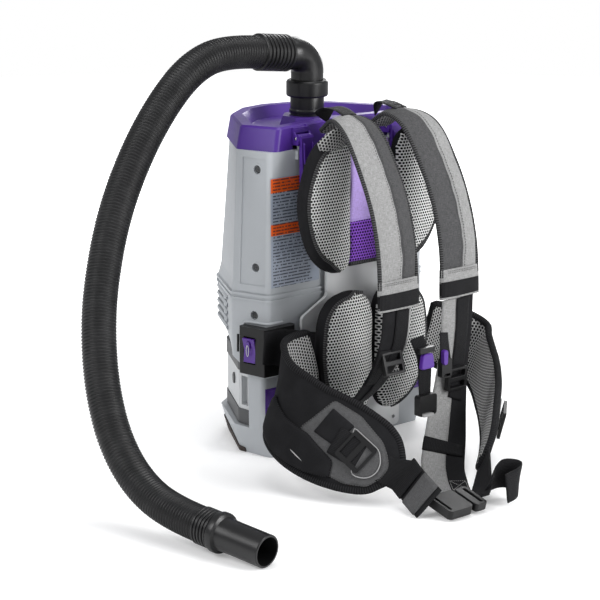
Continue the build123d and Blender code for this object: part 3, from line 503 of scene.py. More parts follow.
def ring_points(outline):
    """A closed outline of 2-D points as evenly spaced points on a smooth closed curve."""
    ring = np.array(outline, float)
    after = np.roll(ring, -1, axis=0)
    slopes = (after - np.roll(ring, 1, axis=0)) / 2
    fine = [arch(*ends) for ends in zip(ring, after, slopes, np.roll(slopes, -1, axis=0))]
    fine = np.concatenate([*fine, ring[:1]])
    far = lengths(fine)
    return sample(np.linspace(0, far[-1], 96, endpoint=False), far, fine)


class Band:
    """A strip through its stations. at(v, u, lift) is v along it, u across it and lift proud of it."""

    def __init__(self, stations, outward=1.0, step=0.004):
        rows = np.array([[*c, *unit(np.array(s, float)), w] for c, s, w in stations], float)
        rows, self.along = smoothed(rows, step)
        self.centre = rows[:, :3]
        tangent = unit(np.gradient(self.centre, self.along, axis=0))
        side = rows[:, 3:6]
        self.side = unit(side - (side * tangent).sum(1)[:, None] * tangent)
        self.normal = np.cross(tangent, self.side) * outward
        self.halves = rows[:, 6] / 2
        self.length = float(self.along[-1])
        self.top = lambda v, u: np.zeros_like(np.asarray(v, float))

    def at(self, v, u, lift):
        v, u, lift = np.broadcast_arrays(*[np.asarray(x, float) for x in (v, u, lift)])
        tables = (self.centre, self.side, self.normal)
        centre, side, normal = [sample(v, self.along, table) for table in tables]
        return centre + u[..., None] * side + lift[..., None] * normal

    def on(self, v, u, lift):
        """The same, from the band's upper face."""
        return self.at(v, u, self.top(v, u) + lift)

    def half(self, v):
        """Half the band's width at v."""
        return np.interp(v, self.along, self.halves)

    def steps(self, count):
        return np.linspace(0, self.length, count)


def mirrored(stations):
    """The same strip on the other side, with its side direction still towards +X."""
    return [((-c[0], c[1], c[2]), (s[0], -s[1], -s[2]), w) for c, s, w in stations]


def shown(name, data):
    """A new object in the scene."""
    obj = bpy.data.objects.new(name, data)
    bpy.context.scene.collection.objects.link(obj)
    return obj


def piece(name, points, faces, finishes, slot=None, uvs=None, which=None, smooth=True, body="housing"):
    """A mesh object that rides on a body. which gives each face's place in finishes."""
    mesh = bpy.data.meshes.new(name)
    mesh.from_pydata([tuple(p) for p in points], [], [tuple(int(i) for i in f) for f in faces])
    obj = shown(name, mesh)
    for finish in [finishes] if isinstance(finishes, str) else finishes:
        mesh.materials.append(FINISHES[finish])
    if which is not None:
        mesh.polygons.foreach_set("material_index", np.asarray(which, np.int32))
    layer = mesh.uv_layers.new(name="cloth")
    source = np.asarray(points, float)[:, [0, 2]] if uvs is None else np.asarray(uvs, float)
    corners = np.zeros(len(mesh.loops), np.int32)
    mesh.loops.foreach_get("vertex_index", corners)
    layer.data.foreach_set("uv", source[corners].astype(np.float32).ravel())
    mesh.polygons.foreach_set("use_smooth", [smooth] * len(mesh.polygons))
    mesh.validate()
    outwards(mesh)
    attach(obj, body)
    return obj


def outwards(mesh):
    """Make all faces of closed parts look outwards."""
    bm = bmesh.new()
    bm.from_mesh(mesh)
    bmesh.ops.recalc_face_normals(bm, faces=bm.faces)
    bm.to_mesh(mesh)
    bm.free()


def rings_faces(count, around, closed=False, caps=True):
    """Quads between rings of points, with the two ends closed."""
    faces = []
    for i in range(count if closed else count - 1):
        a, b = i * around, (i + 1) % count * around
        for k in range(around):
            n = (k + 1) % around
            faces.append((a + k, a + n, b + n, b + k))
    if caps and not closed:
        faces.append(tuple(range(around)))
        faces.append(tuple(range((count - 1) * around, count * around)))
    return faces


def crumple(points, amount, scale):
    """Shift points a little by smooth noise, the same way each run."""
    if not amount:
        return points
    moved = [Vector(p) + noise.noise_vector(Vector(p) * scale) * amount for p in points]
    return np.array(moved)


def two_faced(u, upper, lower):
    """A closed cross-section from its upper and lower face, both from left to right."""
    return np.concatenate([np.stack([u, upper], 1), np.stack([u, lower], 1)[::-1]])


def lens(left, right, low, high, edge, shares, power=2.4):
    """Cross-section from left to right: crowned on both faces and edge thick at its two sides."""
    middle, half = (left + right) / 2, (right - left) / 2
    crown = 1 - np.abs(shares) ** power
    centre = (low + high) / 2
    upper = centre + edge / 2 + (high - centre - edge / 2) * crown
    lower = centre - edge / 2 + (low - centre + edge / 2) * crown
    return two_faced(middle + half * shares, upper, lower)


def loft(name, band, vs, section, finishes, slot=None, tones=None, crease=0.0, scale=30.0, body="housing"):
    """A closed piece along a band. section(v) gives (u, lift) round it, tones one finish a segment."""
    sections = [np.asarray(section(v), float) for v in vs]
    around = len(sections[0])
    points = np.concatenate([band.at(v, s[:, 0], s[:, 1]) for v, s in zip(vs, sections)])
    points = crumple(points, crease, scale)
    uvs = np.concatenate([np.stack([s[:, 0], np.full(around, v)], axis=1)
                          for v, s in zip(vs, sections)])
    which = None if tones is None else list(tones) * (len(vs) - 1) + [tones[0]] * 2
    return piece(name, points, rings_faces(len(vs), around), finishes, slot, uvs, which, body=body)


def cover(name, band, vs, faces, edge, finish, slot=None, inset=0.0, across=9, power=2.4, **more):
    """A crowned piece over a band's whole width. faces(v) gives how proud its two faces are."""
    shares = np.linspace(-1, 1, across)

    def section(v):
        half = band.half(v) - inset
        return lens(-half, half, *faces(v), edge, shares, power)

    return loft(name, band, vs, section, finish, slot, **more)


def tube(name, path, radius, finish, slot=None, closed=False, around=10, flat=1.0, body="housing"):
    """A round or flattened cord along a path of points."""
    path = np.asarray(path, float)
    count = len(path)
    ahead = np.roll(path, -1, axis=0) if closed else np.vstack([path[1:], path[-1:]])
    behind = np.roll(path, 1, axis=0) if closed else np.vstack([path[:1], path[:-1]])
    tangent = unit(ahead - behind)
    along = lengths(path)
    side = np.cross(tangent[0], (0.3, 0.5, 0.81))
    points, uvs = [], []
    for i in range(count):
        side = unit(side - side.dot(tangent[i]) * tangent[i])
        other = np.cross(tangent[i], side)
        r = radius(i / (count - 1)) if callable(radius) else radius
        for k in range(around):
            a = TURN * k / around
            points.append(path[i] + r * (math.cos(a) * side + flat * math.sin(a) * other))
            uvs.append((k * TURN * r / around, along[i]))
    return piece(name, points, rings_faces(count, around, closed), finish, slot, uvs, body=body)


def stitches(name, line, finish="thread", gap=0.0042):
    """A row of thread stitches along a line of points."""
    share, thick = 0.62, 0.0006
    along = lengths(line)
    points, faces = [], []
    for start in np.arange(0, along[-1] - gap, gap):
        a, b = sample(np.array([start, start + gap * share]), along, line)
        ahead = unit(b - a)
        side = unit(np.cross(ahead, (0.21, 0.77, 0.6)))
        other = np.cross(ahead, side)
        base = len(points)
        for centre, r in ((a, 0.45), ((a + b) / 2, 1.0), (b, 0.45)):
            points += [centre + r * thick * (math.cos(q) * side + math.sin(q) * other)
                       for q in (0.0, TURN / 4, TURN / 2, TURN * 3 / 4)]
        faces += [tuple(base + i for i in f) for f in rings_faces(3, 4)]
    return piece(name, points, faces, finish)


def rounded(corners, radius, count=5):
    """A polygon's points with its corners rounded."""
    corners = [np.array(c, float) for c in corners]
    out = []
    for i, corner in enumerate(corners):
        before, after = corners[i - 1] - corner, corners[(i + 1) % len(corners)] - corner
        r = min(radius, 0.45 * np.linalg.norm(before), 0.45 * np.linalg.norm(after))
        a, b = corner + unit(before) * r, corner + unit(after) * r
        for t in np.linspace(0, 1, count):
            out.append((1 - t)**2 * a + 2 * t * (1 - t) * corner + t**2 * b)
    return out


def patch(name, band, outline, lift, thick, finish, slot, crown=0.0):
    """A flat piece that lies on a band's upper face, cut to an outline of (v, u) points."""
    bm = bmesh.new()
    bm.faces.new([bm.verts.new((p[0], p[1], 0)) for p in outline])
    spots = np.array(outline)
    grid = 0.005
    for axis in (0, 1):
        low, high = spots[:, axis].min(), spots[:, axis].max()
        for value in np.arange(math.ceil(low / grid) * grid + 1e-5, high, grid):
            plane_co, plane_no = [0, 0, 0], [0, 0, 0]
            plane_co[axis], plane_no[axis] = value, 1
            bmesh.ops.bisect_plane(bm, geom=bm.verts[:] + bm.edges[:] + bm.faces[:], dist=1e-7,
                                   plane_co=plane_co, plane_no=plane_no)
    bm.verts.index_update()
    v, u = np.array([vertex.co for vertex in bm.verts])[:, :2].T
    faces = [[vertex.index for vertex in f.verts] for f in bm.faces]
    rim = [[vertex.index for vertex in e.verts] for e in bm.edges if len(e.link_faces) == 1]
    bm.free()
    count = len(v)
    away = np.hypot(v - v.mean(), u - u.mean())
    bulge = crown * (1 - (away / away.max()) ** 2)
    bulge[[i for edge in rim for i in edge]] -= 0.35 * thick
    points = np.concatenate([band.on(v, u, lift + bulge), band.on(v, u, lift - thick)])
    faces += [[i + count for i in reversed(f)] for f in faces]
    faces += [(a, b, b + count, a + count) for a, b in rim]
    return piece(name, points, faces, finish, slot, np.tile(np.stack([u, v], 1), (2, 1)))


def outline_path(band, outline, lift):
    """Points along a closed (v, u) outline, on a band's upper face."""
    ring = np.array([*outline, outline[0]], float)
    far = lengths(ring)
    at = np.linspace(0, far[-1], max(8, int(far[-1] / 0.004)), endpoint=False)
    v, u = sample(at, far, ring).T
    return band.on(v, u, lift)


def soft(node=None):
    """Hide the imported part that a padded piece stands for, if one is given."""
    if node:
        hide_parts(node)


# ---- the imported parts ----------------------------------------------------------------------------
BEVELS = {
    0.0002: ("info_plate",),
    0.0004: ("gauge_button",),
    0.0005: ("battery_release",),
    0.0006: ("exhaust_louvres", "power_rocker", "swivel_collar", "wand_cuff"),
    0.0007: ("accent_panels", "base_bumper", "hose_cuff"),
    0.0008: ("lid_latch_left", "lid_latch_right", "belt_triglides", "sternum_clips"),
    0.0009: ("harness_plate", "belt_buckle_plug"),
    0.001: ("battery_case", "battery_end_caps", "switch_housing", "ladder_locks", "belt_buckle_socket"),
    0.0011: ("chamber_front_shell", "chamber_rear_shell", "lower_front_shell", "lower_rear_shell"),
    0.0013: ("lid",),
}
BEVEL_OF = {node: width for width, nodes in BEVELS.items() for node in nodes}


def modify(obj, name, kind, **settings):
    return put(obj.modifiers.new(name, kind), **settings)


def dress(node, obj, finish):
    """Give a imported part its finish, softened edges and clean shading, leaving its mesh as it is."""
    obj.data.materials.clear()
    obj.data.materials.append(FINISHES[finish])
    if "custom_normal" in obj.data.attributes:
        obj.data.attributes.remove(obj.data.attributes["custom_normal"])
    obj.data.polygons.foreach_set("use_smooth", [True] * len(obj.data.polygons))
    modify(obj, "weld", "WELD", merge_threshold=0.00002)
    if node in BEVEL_OF:
        modify(obj, "plain", "DECIMATE", decimate_type="DISSOLVE", angle_limit=math.radians(0.5))
        modify(obj, "bevel", "BEVEL", width=BEVEL_OF[node], segments=2, limit_method="ANGLE",
               angle_limit=math.radians(24), miter_outer="MITER_ARC")
    modify(obj, "weighted", "WEIGHTED_NORMAL", keep_sharp=False, weight=80)


def dress_packed():
    """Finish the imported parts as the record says, and anything without a finish here in black."""
    slots = {part["node"]: part["material_slot"] for part in frame["record"]["subparts"]}
    # painted shade: the shell screws are coloured dark grey to stand for the shade of the deep pockets they
    # sit in; the battery end caps and gauge button get the same dark grey
    for node in ("shell_screws", "battery_end_caps", "gauge_button"):
        slots[node] = "dark_grey_plastic"
    for node, obj in NODES.items():
        dress(node, obj, slots[node] if slots[node] in FINISHES else "black_plastic")


def surface_of(*nodes):
    """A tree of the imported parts' faces, to find where a line meets them."""
    points, faces = [], []
    for node in nodes:
        mesh = NODES[node].data
        base = len(points)
        points += [v.co.copy() for v in mesh.vertices]
        faces += [[base + i for i in p.vertices] for p in mesh.polygons]
    return BVHTree.FromPolygons(points, faces)


# ---- hose ----------------------------------------------------------------------------------------
def hose_line():
    """The hose's middle line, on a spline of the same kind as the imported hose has."""
    curve = put(bpy.data.curves.new("hose_line", "CURVE"), dimensions="3D")
    spline = curve.splines.new("NURBS")
    spline.points.add(len(HOSE_ROUTE) - 1)
    for point, place in zip(spline.points, HOSE_ROUTE):
        point.co = (*place, 1.0)
    put(spline, order_u=3, use_endpoint_u=True, resolution_u=24)
    line_object = bpy.data.objects.new("hose_line", curve)
    line_mesh = bpy.data.meshes.new_from_object(line_object)
    line = np.array([v.co for v in line_mesh.vertices], float)
    bpy.data.objects.remove(line_object)
    bpy.data.curves.remove(curve)
    bpy.data.meshes.remove(line_mesh)
    return line


def hose():
    """Corrugated hose on its route, one helical rib all the way."""
    pitch, rings_a_turn, around, depth = 0.0046, 6, 44, 0.0019
    line = hose_line()
    along = lengths(line)
    length = float(along[-1])
    count = int(length / pitch) * rings_a_turn
    at = np.linspace(0, length, count)
    path = sample(at, along, line)
    tangent = unit(np.gradient(path, axis=0))
    side = unit(np.cross(tangent[0], (0.0, 1.0, 0.0)))
    angles = np.arange(around) * TURN / around
    points, uvs = [], []
    for i in range(count):
        side = unit(side - side.dot(tangent[i]) * tangent[i])
        other = np.cross(tangent[i], side)
        wave = 0.5 - 0.5 * np.cos(TURN * at[i] / pitch + angles)
        radius = HOSE_RADIUS - depth * (1 - wave ** 0.6)
        points.append(path[i] + radius[:, None] * (np.cos(angles)[:, None] * side
                                                   + np.sin(angles)[:, None] * other))
        uvs.append(np.stack([angles * HOSE_RADIUS, np.full(around, at[i])], axis=1))
    tube_piece = piece("hose_tube", np.concatenate(points), rings_faces(count, around), "hose_black",
                       "hose_black", np.concatenate(uvs), body="hose_assembly")
    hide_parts("hose")


# ---- pads ----------------------------------------------------------------------------------------
# (share of the way out from the middle, share of the pad's depth), from its back to its front
PAD_PROFILE = [(0.5, 0.0), (0.88, 0.02), (0.97, 0.14), (1.0, 0.4), (0.985, 0.66), (0.93, 0.84),
               (0.84, 0.92), (0.66, 0.985), (0.45, 0.99), (0.22, 0.97)]
PAD_MIDDLE_RISE = 0.96
MOST_PUFF = 0.006


def puff(obj, pinned):
    """Fill a closed form with a short cloth simulation; no point moves further than MOST_PUFF."""
    modify(obj, "remesh", "REMESH", mode="VOXEL", voxel_size=0.0045)
    bake_modifiers(obj)
    before = np.array([v.co for v in obj.data.vertices], float)
    group = obj.vertex_groups.new(name="held")
    for vertex in obj.data.vertices:
        share = pinned(vertex.co)
        if share > 0:
            group.add([vertex.index], share, "REPLACE")
    cloth = put(modify(obj, "cloth", "CLOTH").settings, quality=6, mass=0.25, tension_stiffness=12,
                compression_stiffness=12, shear_stiffness=6, bending_stiffness=0.4, use_pressure=True,
                uniform_pressure_force=4.0, vertex_group_mass=group.name)
    cloth.effector_weights.gravity = 0.0
    for number in range(1, 21):
        bpy.context.scene.frame_set(number)
    bake_modifiers(obj)
    after = np.array([v.co for v in obj.data.vertices], float)
    move = after - before
    far = np.linalg.norm(move, axis=1, keepdims=True)
    after = before + move * np.minimum(1.0, MOST_PUFF / np.maximum(far, 1e-9))
    obj.data.vertices.foreach_set("co", after.astype(np.float32).ravel())
    obj.data.update()
    bpy.context.scene.frame_set(1)


def bake_modifiers(obj):
    """Replace an object's mesh by what its modifiers make of it."""
    made = obj.evaluated_get(bpy.context.evaluated_depsgraph_get())
    mesh = bpy.data.meshes.new_from_object(made)
    obj.modifiers.clear()
    obj.data = mesh


def pad_form(ring, middle, back, depth):
    """A closed pad in rings, from its back face to its front face."""
    points, count = [], len(ring)
    for share, rise in PAD_PROFILE:
        points += [(x, back + depth * rise, z) for x, z in middle + (ring - middle) * share]
    faces = rings_faces(len(PAD_PROFILE), count, caps=False)
    base = len(points)
    top = base - count
    points.append((middle[0], back, middle[1]))
    points.append((middle[0], back + depth * PAD_MIDDLE_RISE, middle[1]))
    for k in range(count):
        n = (k + 1) % count
        faces.append((base, n, k))
        faces.append((base + 1, top + k, top + n))
    return points, faces


def pad(name, node, outline, edge):
    """Foam pad: mesh-faced towards the wearer, black at its outer border, bound along the join."""
    low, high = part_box(node)
    back, front = high.y, low.y
    depth = front - back
    ring = ring_points(outline)
    middle = ring.mean(0)
    away = ring - middle
    reach = np.linalg.norm(away, axis=1)
    angles = np.arctan2(away[:, 1], away[:, 0])
    # the border is wide on the outer and lower sides, and nearly nothing towards the spine
    to_spine = np.cos(angles) * (1.0 if middle[0] < 0 else -1.0)
    inward = np.clip((to_spine + 0.05) / 0.4, 0, 1)
    border = edge + (1.04 - edge) * inward

    def share_of(co):
        """How far out a point lies, and the border's share in that direction."""
        spot = np.array((co[0], co[2])) - middle
        turns = np.angle(np.exp(1j * (angles - math.atan2(spot[1], spot[0]))))
        k = int(np.abs(turns).argmin())
        return float(np.linalg.norm(spot) / reach[k]), float(border[k])

    def held(co):
        share, limit = share_of(co)
        if co[1] > back + 0.35 * depth:
            return 1.0
        return max(0.0, 1.0 - abs(share - limit) / 0.05)

    finishes = ["pad_mesh", "black_fabric"]
    body = piece(name, *pad_form(ring, middle, back, depth), finishes, "pad_mesh")
    puff(body, held)
    mesh = body.data
    which = []
    for face in mesh.polygons:
        share, limit = share_of(face.center)
        which.append(share > limit or face.center[1] > back + 0.6 * depth)
    mesh.materials.clear()
    for finish in finishes:
        mesh.materials.append(FINISHES[finish])
    mesh.polygons.foreach_set("material_index", np.array(which, np.int32))
    mesh.polygons.foreach_set("use_smooth", [True] * len(which))
    mesh.update()
    modify(body, "soft", "SUBSURF", levels=1, render_levels=1)
    soft(node)

    tree = BVHTree.FromPolygons([v.co for v in mesh.vertices], [tuple(p.vertices) for p in mesh.polygons])
    order = np.roll(np.arange(len(ring)), -int(inward.argmax()))
    order = order[inward[order] < 0.6]

    def along_border(offset, lift):
        rows = []
        for x, z in middle + away[order] * (border[order] + offset)[:, None]:
            hit = tree.ray_cast(Vector((x, front - 0.05, z)), Vector((0, 1, 0)))[0]
            rows.append((x, (hit.y if hit else front) + lift, z))
        return rows

    tube(name + "_binding", along_border(0.0, 0.0004), 0.0026, "binding")
    stitches(name + "_stitching", along_border(-0.035, -0.0003))


def pads():
    """Upper and lumbar pads; the last number is how far out their black border starts."""
    for side, sign in (("left", 1), ("right", -1)):
        for name, node, outline, edge in (("upper_pad", "upper_back_pad", UPPER_PAD, 0.84),
                                          ("lower_pad", "lumbar_pad", LUMBAR_PAD, 0.93)):
            pad(f"{name}_{side}", f"{node}_{side}", [(x * sign, z) for x, z in outline], edge)


def spine_panel():
    """Purple mesh down the middle, a lavender patch above it and a bound edge below each."""
    low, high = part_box("spine_mesh")
    split, gap, half_edge = 0.345, 0.002, 0.037
    rows = [("spine_net", low.z + gap, split, "mesh_purple", 0.4, "spine_mesh",
             "spine_edge", 0.002, 0.0042, "binding", 0.8),
            ("spine_patch", split, high.z - gap, "lavender", 0.3, None,
             "spine_join", 0.003, 0.0014, "lavender", 1.0)]
    for name, bottom, top, finish, fill, node, edge_name, lift, radius, edge_finish, flat in rows:
        stations = [((0, high.y - 0.001, top), (1, 0, 0), 2 * high.x),
                    ((0, low.y + 0.004, (bottom + top) / 2), (1, 0, 0), 2 * high.x - 0.002),
                    ((0, high.y - 0.001, bottom), (1, 0, 0), 2 * high.x)]
        band = Band(stations)
        panel = cover(name, band, band.steps(30), lambda v: (-0.001, 0.004), 0.002, finish, "mesh_purple",
                      inset=0.0015, across=14, crease=0.0006)
        soft(node)
        edge = band.at(band.length, np.linspace(-half_edge, half_edge, 20), lift)
        tube(edge_name, edge, radius, edge_finish, flat=flat)


# ---- shoulder straps -----------------------------------------------------------------------------
PADDED_END = 0.300                      # along the strap, where its padding ends
STRAP_END = PADDED_END + 0.012          # where the padded piece ends, inside its sleeve
STRAP_INSET = 0.002                     # left free on each side for the binding
STRAP_SHARES = np.array([-1, -0.96, -0.9, -0.8, -0.65, -0.5, -0.3, -0.1, 0.05, 0.12, 0.16, 0.2, 0.27,
                         0.4, 0.55, 0.7, 0.82, 0.91, 0.96, 1])
SPLIT_SHARE = 0.16                      # across the strap, where its two tones meet


def strap_fade(v):
    """The strap thins towards the end of its padding."""
    return np.clip((STRAP_END - np.asarray(v)) / 0.05, 0.3, 1)


def strap_top(band):
    """How proud the padded strap's upper face is, with a groove along its two-tone seam."""
    def top(v, u):
        share = np.clip(np.asarray(u) / (band.half(v) - STRAP_INSET), -1, 1)
        crown = 1 - np.abs(share) ** 2.6
        groove = 0.0017 * np.exp(-((share - SPLIT_SHARE) / 0.045) ** 2)
        ripple = 0.0005 * np.sin(np.asarray(v) * 190 + 3 * share) * crown
        return (0.0022 + 0.0052 * crown - groove + ripple) * strap_fade(v)
    return top


def shoulder_strap(side):
    """Padded two-tone strap with mesh underneath, bound edges and a sewn end."""
    left = side == "left"
    name = f"strap_{side}"
    band = Band(SHOULDER_STRAP if left else mirrored(SHOULDER_STRAP), step=0.003)
    band.top = strap_top(band)

    def section(v):
        u = STRAP_SHARES * (band.half(v) - STRAP_INSET)
        low = -(0.0026 + 0.0034 * (1 - np.abs(STRAP_SHARES) ** 3)) * strap_fade(v)
        return two_faced(u, band.top(np.full(len(u), v), u), low)

    # the wide tone is on the left of the left strap and on the right of the right one
    before_split = STRAP_SHARES[:-1] < SPLIT_SHARE - 0.001
    under = [3] * len(before_split)
    tones = [0 if before == left else 1 for before in before_split] + [2, *under, 2]
    finishes = ["strap_fabric", "charcoal_fabric", "charcoal_fabric", "strap_mesh"]
    body = loft(name, band, np.linspace(0.0, STRAP_END, 100), section, finishes, "strap_fabric", tones,
                crease=0.0008, scale=24.0)
    soft(f"shoulder_{name}")

    run = np.linspace(0.004, PADDED_END + 0.008, 110)
    half = band.half(run) - STRAP_INSET
    for edge, sign in (("outer", -1), ("inner", 1)):
        line = band.at(run, sign * (half + 0.0003), 0.0003)
        tube(f"{name}_{edge}_binding", line, 0.0031, "binding")
    for letter, offset in (("a", -0.004), ("b", 0.003)):
        stitches(f"{name}_seam_{letter}", band.on(run, SPLIT_SHARE * half + offset, 0.0003))

    # the end of the padding: stitched sleeve, woven band, and a hem below it
    for part, v0, v1, finish, lift in (
            ("sleeve", PADDED_END - 0.003, PADDED_END + 0.0165, "strap_fabric", 0.0052),
            ("wrap", PADDED_END + 0.0145, band.length - 0.003, "webbing_black", 0.0062),
            ("hem", band.length - 0.006, band.length, "strap_fabric", 0.005)):
        cuff = cover(f"{name}_{part}", band, np.linspace(v0, v1, 9), lambda v, h=lift: (-h, h), 0.005,
                     finish, "strap_fabric", inset=-0.0008, across=15, power=4.0, crease=0.0004)
        soft()
    for letter, v in (("a", PADDED_END - 0.0005), ("b", PADDED_END + 0.002)):
        u = np.linspace(-0.033, 0.033, 40)
        rows = band.at(v, u, 0.0052 * (1 - (np.abs(u) / 0.037) ** 4) + 0.0006)
        stitches(f"{name}_end_{letter}", rows, gap=0.0034)


# ---- webbing -------------------------------------------------------------------------------------
def flat_strap(name, band, v0, v1, left, right, lift, thick, finish="webbing_black"):
    """A plain woven strip on a band, from v0 to v1 along it and from left to right across it."""
    section = lens(left, right, lift - thick / 2, lift + thick / 2, thick * 0.55, np.linspace(-1, 1, 9), 6.0)
    vs = np.linspace(v0, v1, max(4, int((v1 - v0) / 0.004)))
    return loft(name, band, vs, lambda v: section, finish, "webbing_black", crease=0.0005, scale=40.0)


def web(name, band, width, thick, node=None):
    """Webbing along a whole band, with its size when laid flat."""
    strip = flat_strap(name, band, 0, band.length, -width / 2, width / 2, 0, thick)
    if node:
        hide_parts(node)


def lower_straps():
    """Two-tone lower straps, each with the webbing of its adjuster."""
    left, right = Band(LOWER_STRAP_LEFT), Band(LOWER_STRAP_RIGHT)
    backing = flat_strap("strap_tail_left", left, 0, left.length, -0.0275, 0.0215, -0.001, 0.0024,
                         "black_fabric")
    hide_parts("lower_strap_left")
    flat_strap("strap_edge_left", left, 0, left.length, 0.0205, 0.0265, -0.0008, 0.0026, "strap_fabric")
    flat_strap("adjuster_web_left", left, 0, left.length - 0.004, -0.004, 0.0205, 0.0018, 0.0018)
    flat_strap("adjuster_tail_left", left, 0.058, 0.118, -0.0265, -0.0035, 0.0015, 0.0016)
    backing = flat_strap("strap_tail_right", right, 0, right.length, -0.0325, 0.002, -0.001, 0.0028,
                         "strap_fabric")
    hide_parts("lower_strap_right")
    flat_strap("strap_side_right", right, 0, right.length, 0.001, 0.029, -0.0012, 0.0024, "black_fabric")
    flat_strap("adjuster_web_right", right, 0, 0.150, -0.006, 0.0185, 0.0020, 0.0018)
    flat_strap("strap_cross_right", right, 0.222, 0.246, -0.0335, 0.026, 0.0016, 0.0016)
    # a sewn box with a cross in it
    start, end, near, far = right.length - 0.034, right.length - 0.004, 0.004, 0.026
    box = np.array([(start, near), (end, near), (end, far), (start, far)])
    rows = outline_path(right, box, 0.0006)
    stitches("strap_box_right", [*rows, rows[0]], "pale_thread", 0.003)
    for k in (0, 1):
        v, u = np.linspace(box[k], box[k + 2], 16).T
        stitches(f"strap_cross_{k}", right.at(v, u, 0.0006), "pale_thread", 0.003)


def small_straps():
    """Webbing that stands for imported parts, and the loose strap end on the floor."""
    web("load_lifter_left", Band(LOAD_LIFTER), 0.025, 0.0022, "load_lifters")
    web("load_lifter_right", Band(mirrored(LOAD_LIFTER)), 0.025, 0.0022)
    web("switch_webbing", Band(SWITCH_STRAP), 0.048, 0.003, "switch_strap")
    web("strap_tail", Band(STRAP_TAIL), 0.032, 0.0024)
    web("sternum_web_left", Band(STERNUM_LEFT), 0.022, 0.002, "sternum_straps")
    web("sternum_web_right", Band(STERNUM_RIGHT), 0.022, 0.002)


def sternum_buckle():
    """Purple ends of the chest strap's buckle, the black bar over one of them, and a pale pull tab."""
    # name, centre, (width below, width above), height, finish
    parts = [("sternum_socket", (-0.022, -0.2925, 0.164), (0.026, 0.019), 0.022, "accent_purple"),
             ("sternum_bar", (-0.0225, -0.2915, 0.180), (0.030, 0.031), 0.008, "black_plastic"),
             ("sternum_tip", (0.013, -0.2925, 0.163), (0.008, 0.009), 0.022, "accent_purple"),
             ("sternum_pull", (-0.024, -0.2975, 0.0865), (0.020, 0.020), 0.0035, "zip_grey")]
    levels = [(0.0030, 1.0), (-0.0022, 1.0), (-0.0034, 0.9)]
    for name, (x0, y0, z0), (below, above), height, finish in parts:
        corners = [(-below / 2, -height / 2), (below / 2, -height / 2), (above / 2, height / 2),
                   (-above / 2, height / 2)]
        ring = rounded(corners, height * 0.2, 4)
        points = [(x0 + x * grow, y0 + depth, z0 + z * grow) for depth, grow in levels for x, z in ring]
        piece(name, points, rings_faces(len(levels), len(ring)), finish, smooth=False)


# ---- hip belt ------------------------------------------------------------------------------------
def wing_band(side):
    """A wing's band, narrowed to a round nose at its tip."""
    left = side == "left"
    band = Band(HIP_WING_LEFT if left else HIP_WING_RIGHT, outward=1.0 if left else -1.0, step=0.003)
    nose = 0.045
    ahead = np.clip((band.along - (band.length - nose)) / nose, 0, 1)
    band.halves = band.halves * np.sqrt(np.maximum(1 - 0.82 * ahead ** 2.2, 0.02))

    def top(v, u):
        share = np.clip(np.abs(np.asarray(u)) / (band.half(v) - 0.004), 0, 1)
        return 0.0022 + 0.0042 * (1 - share ** 3)

    band.top = top
    return band


def hip_wing(side):
    """Black padded wing with mesh underneath and a bound rim."""
    band = wing_band(side)
    shares = np.linspace(-1, 1, 25)

    def section(v):
        u = shares * (band.half(v) - 0.003)
        low = -0.0022 - 0.0042 * (1 - np.abs(shares) ** 3)
        return two_faced(u, band.top(np.full(len(u), v), u), low)

    n = len(shares)
    body = loft(f"wing_{side}", band, band.steps(84), section, ["black_fabric", "strap_mesh"],
                "black_fabric", [0] * n + [1] * (n - 1) + [0], crease=0.0012, scale=22.0)
    soft(f"hip_wing_{side}")

    run = band.steps(90)
    half = band.half(run) - 0.0035
    rim = np.concatenate([band.at(run, half, 0.0), band.at(run[::-1], -half[::-1], 0.0)])
    binding_radius = 0.0052
    tube(f"wing_{side}_binding", rim, binding_radius, "black_binding", closed=True, around=12)
    wing_panel(side, band)


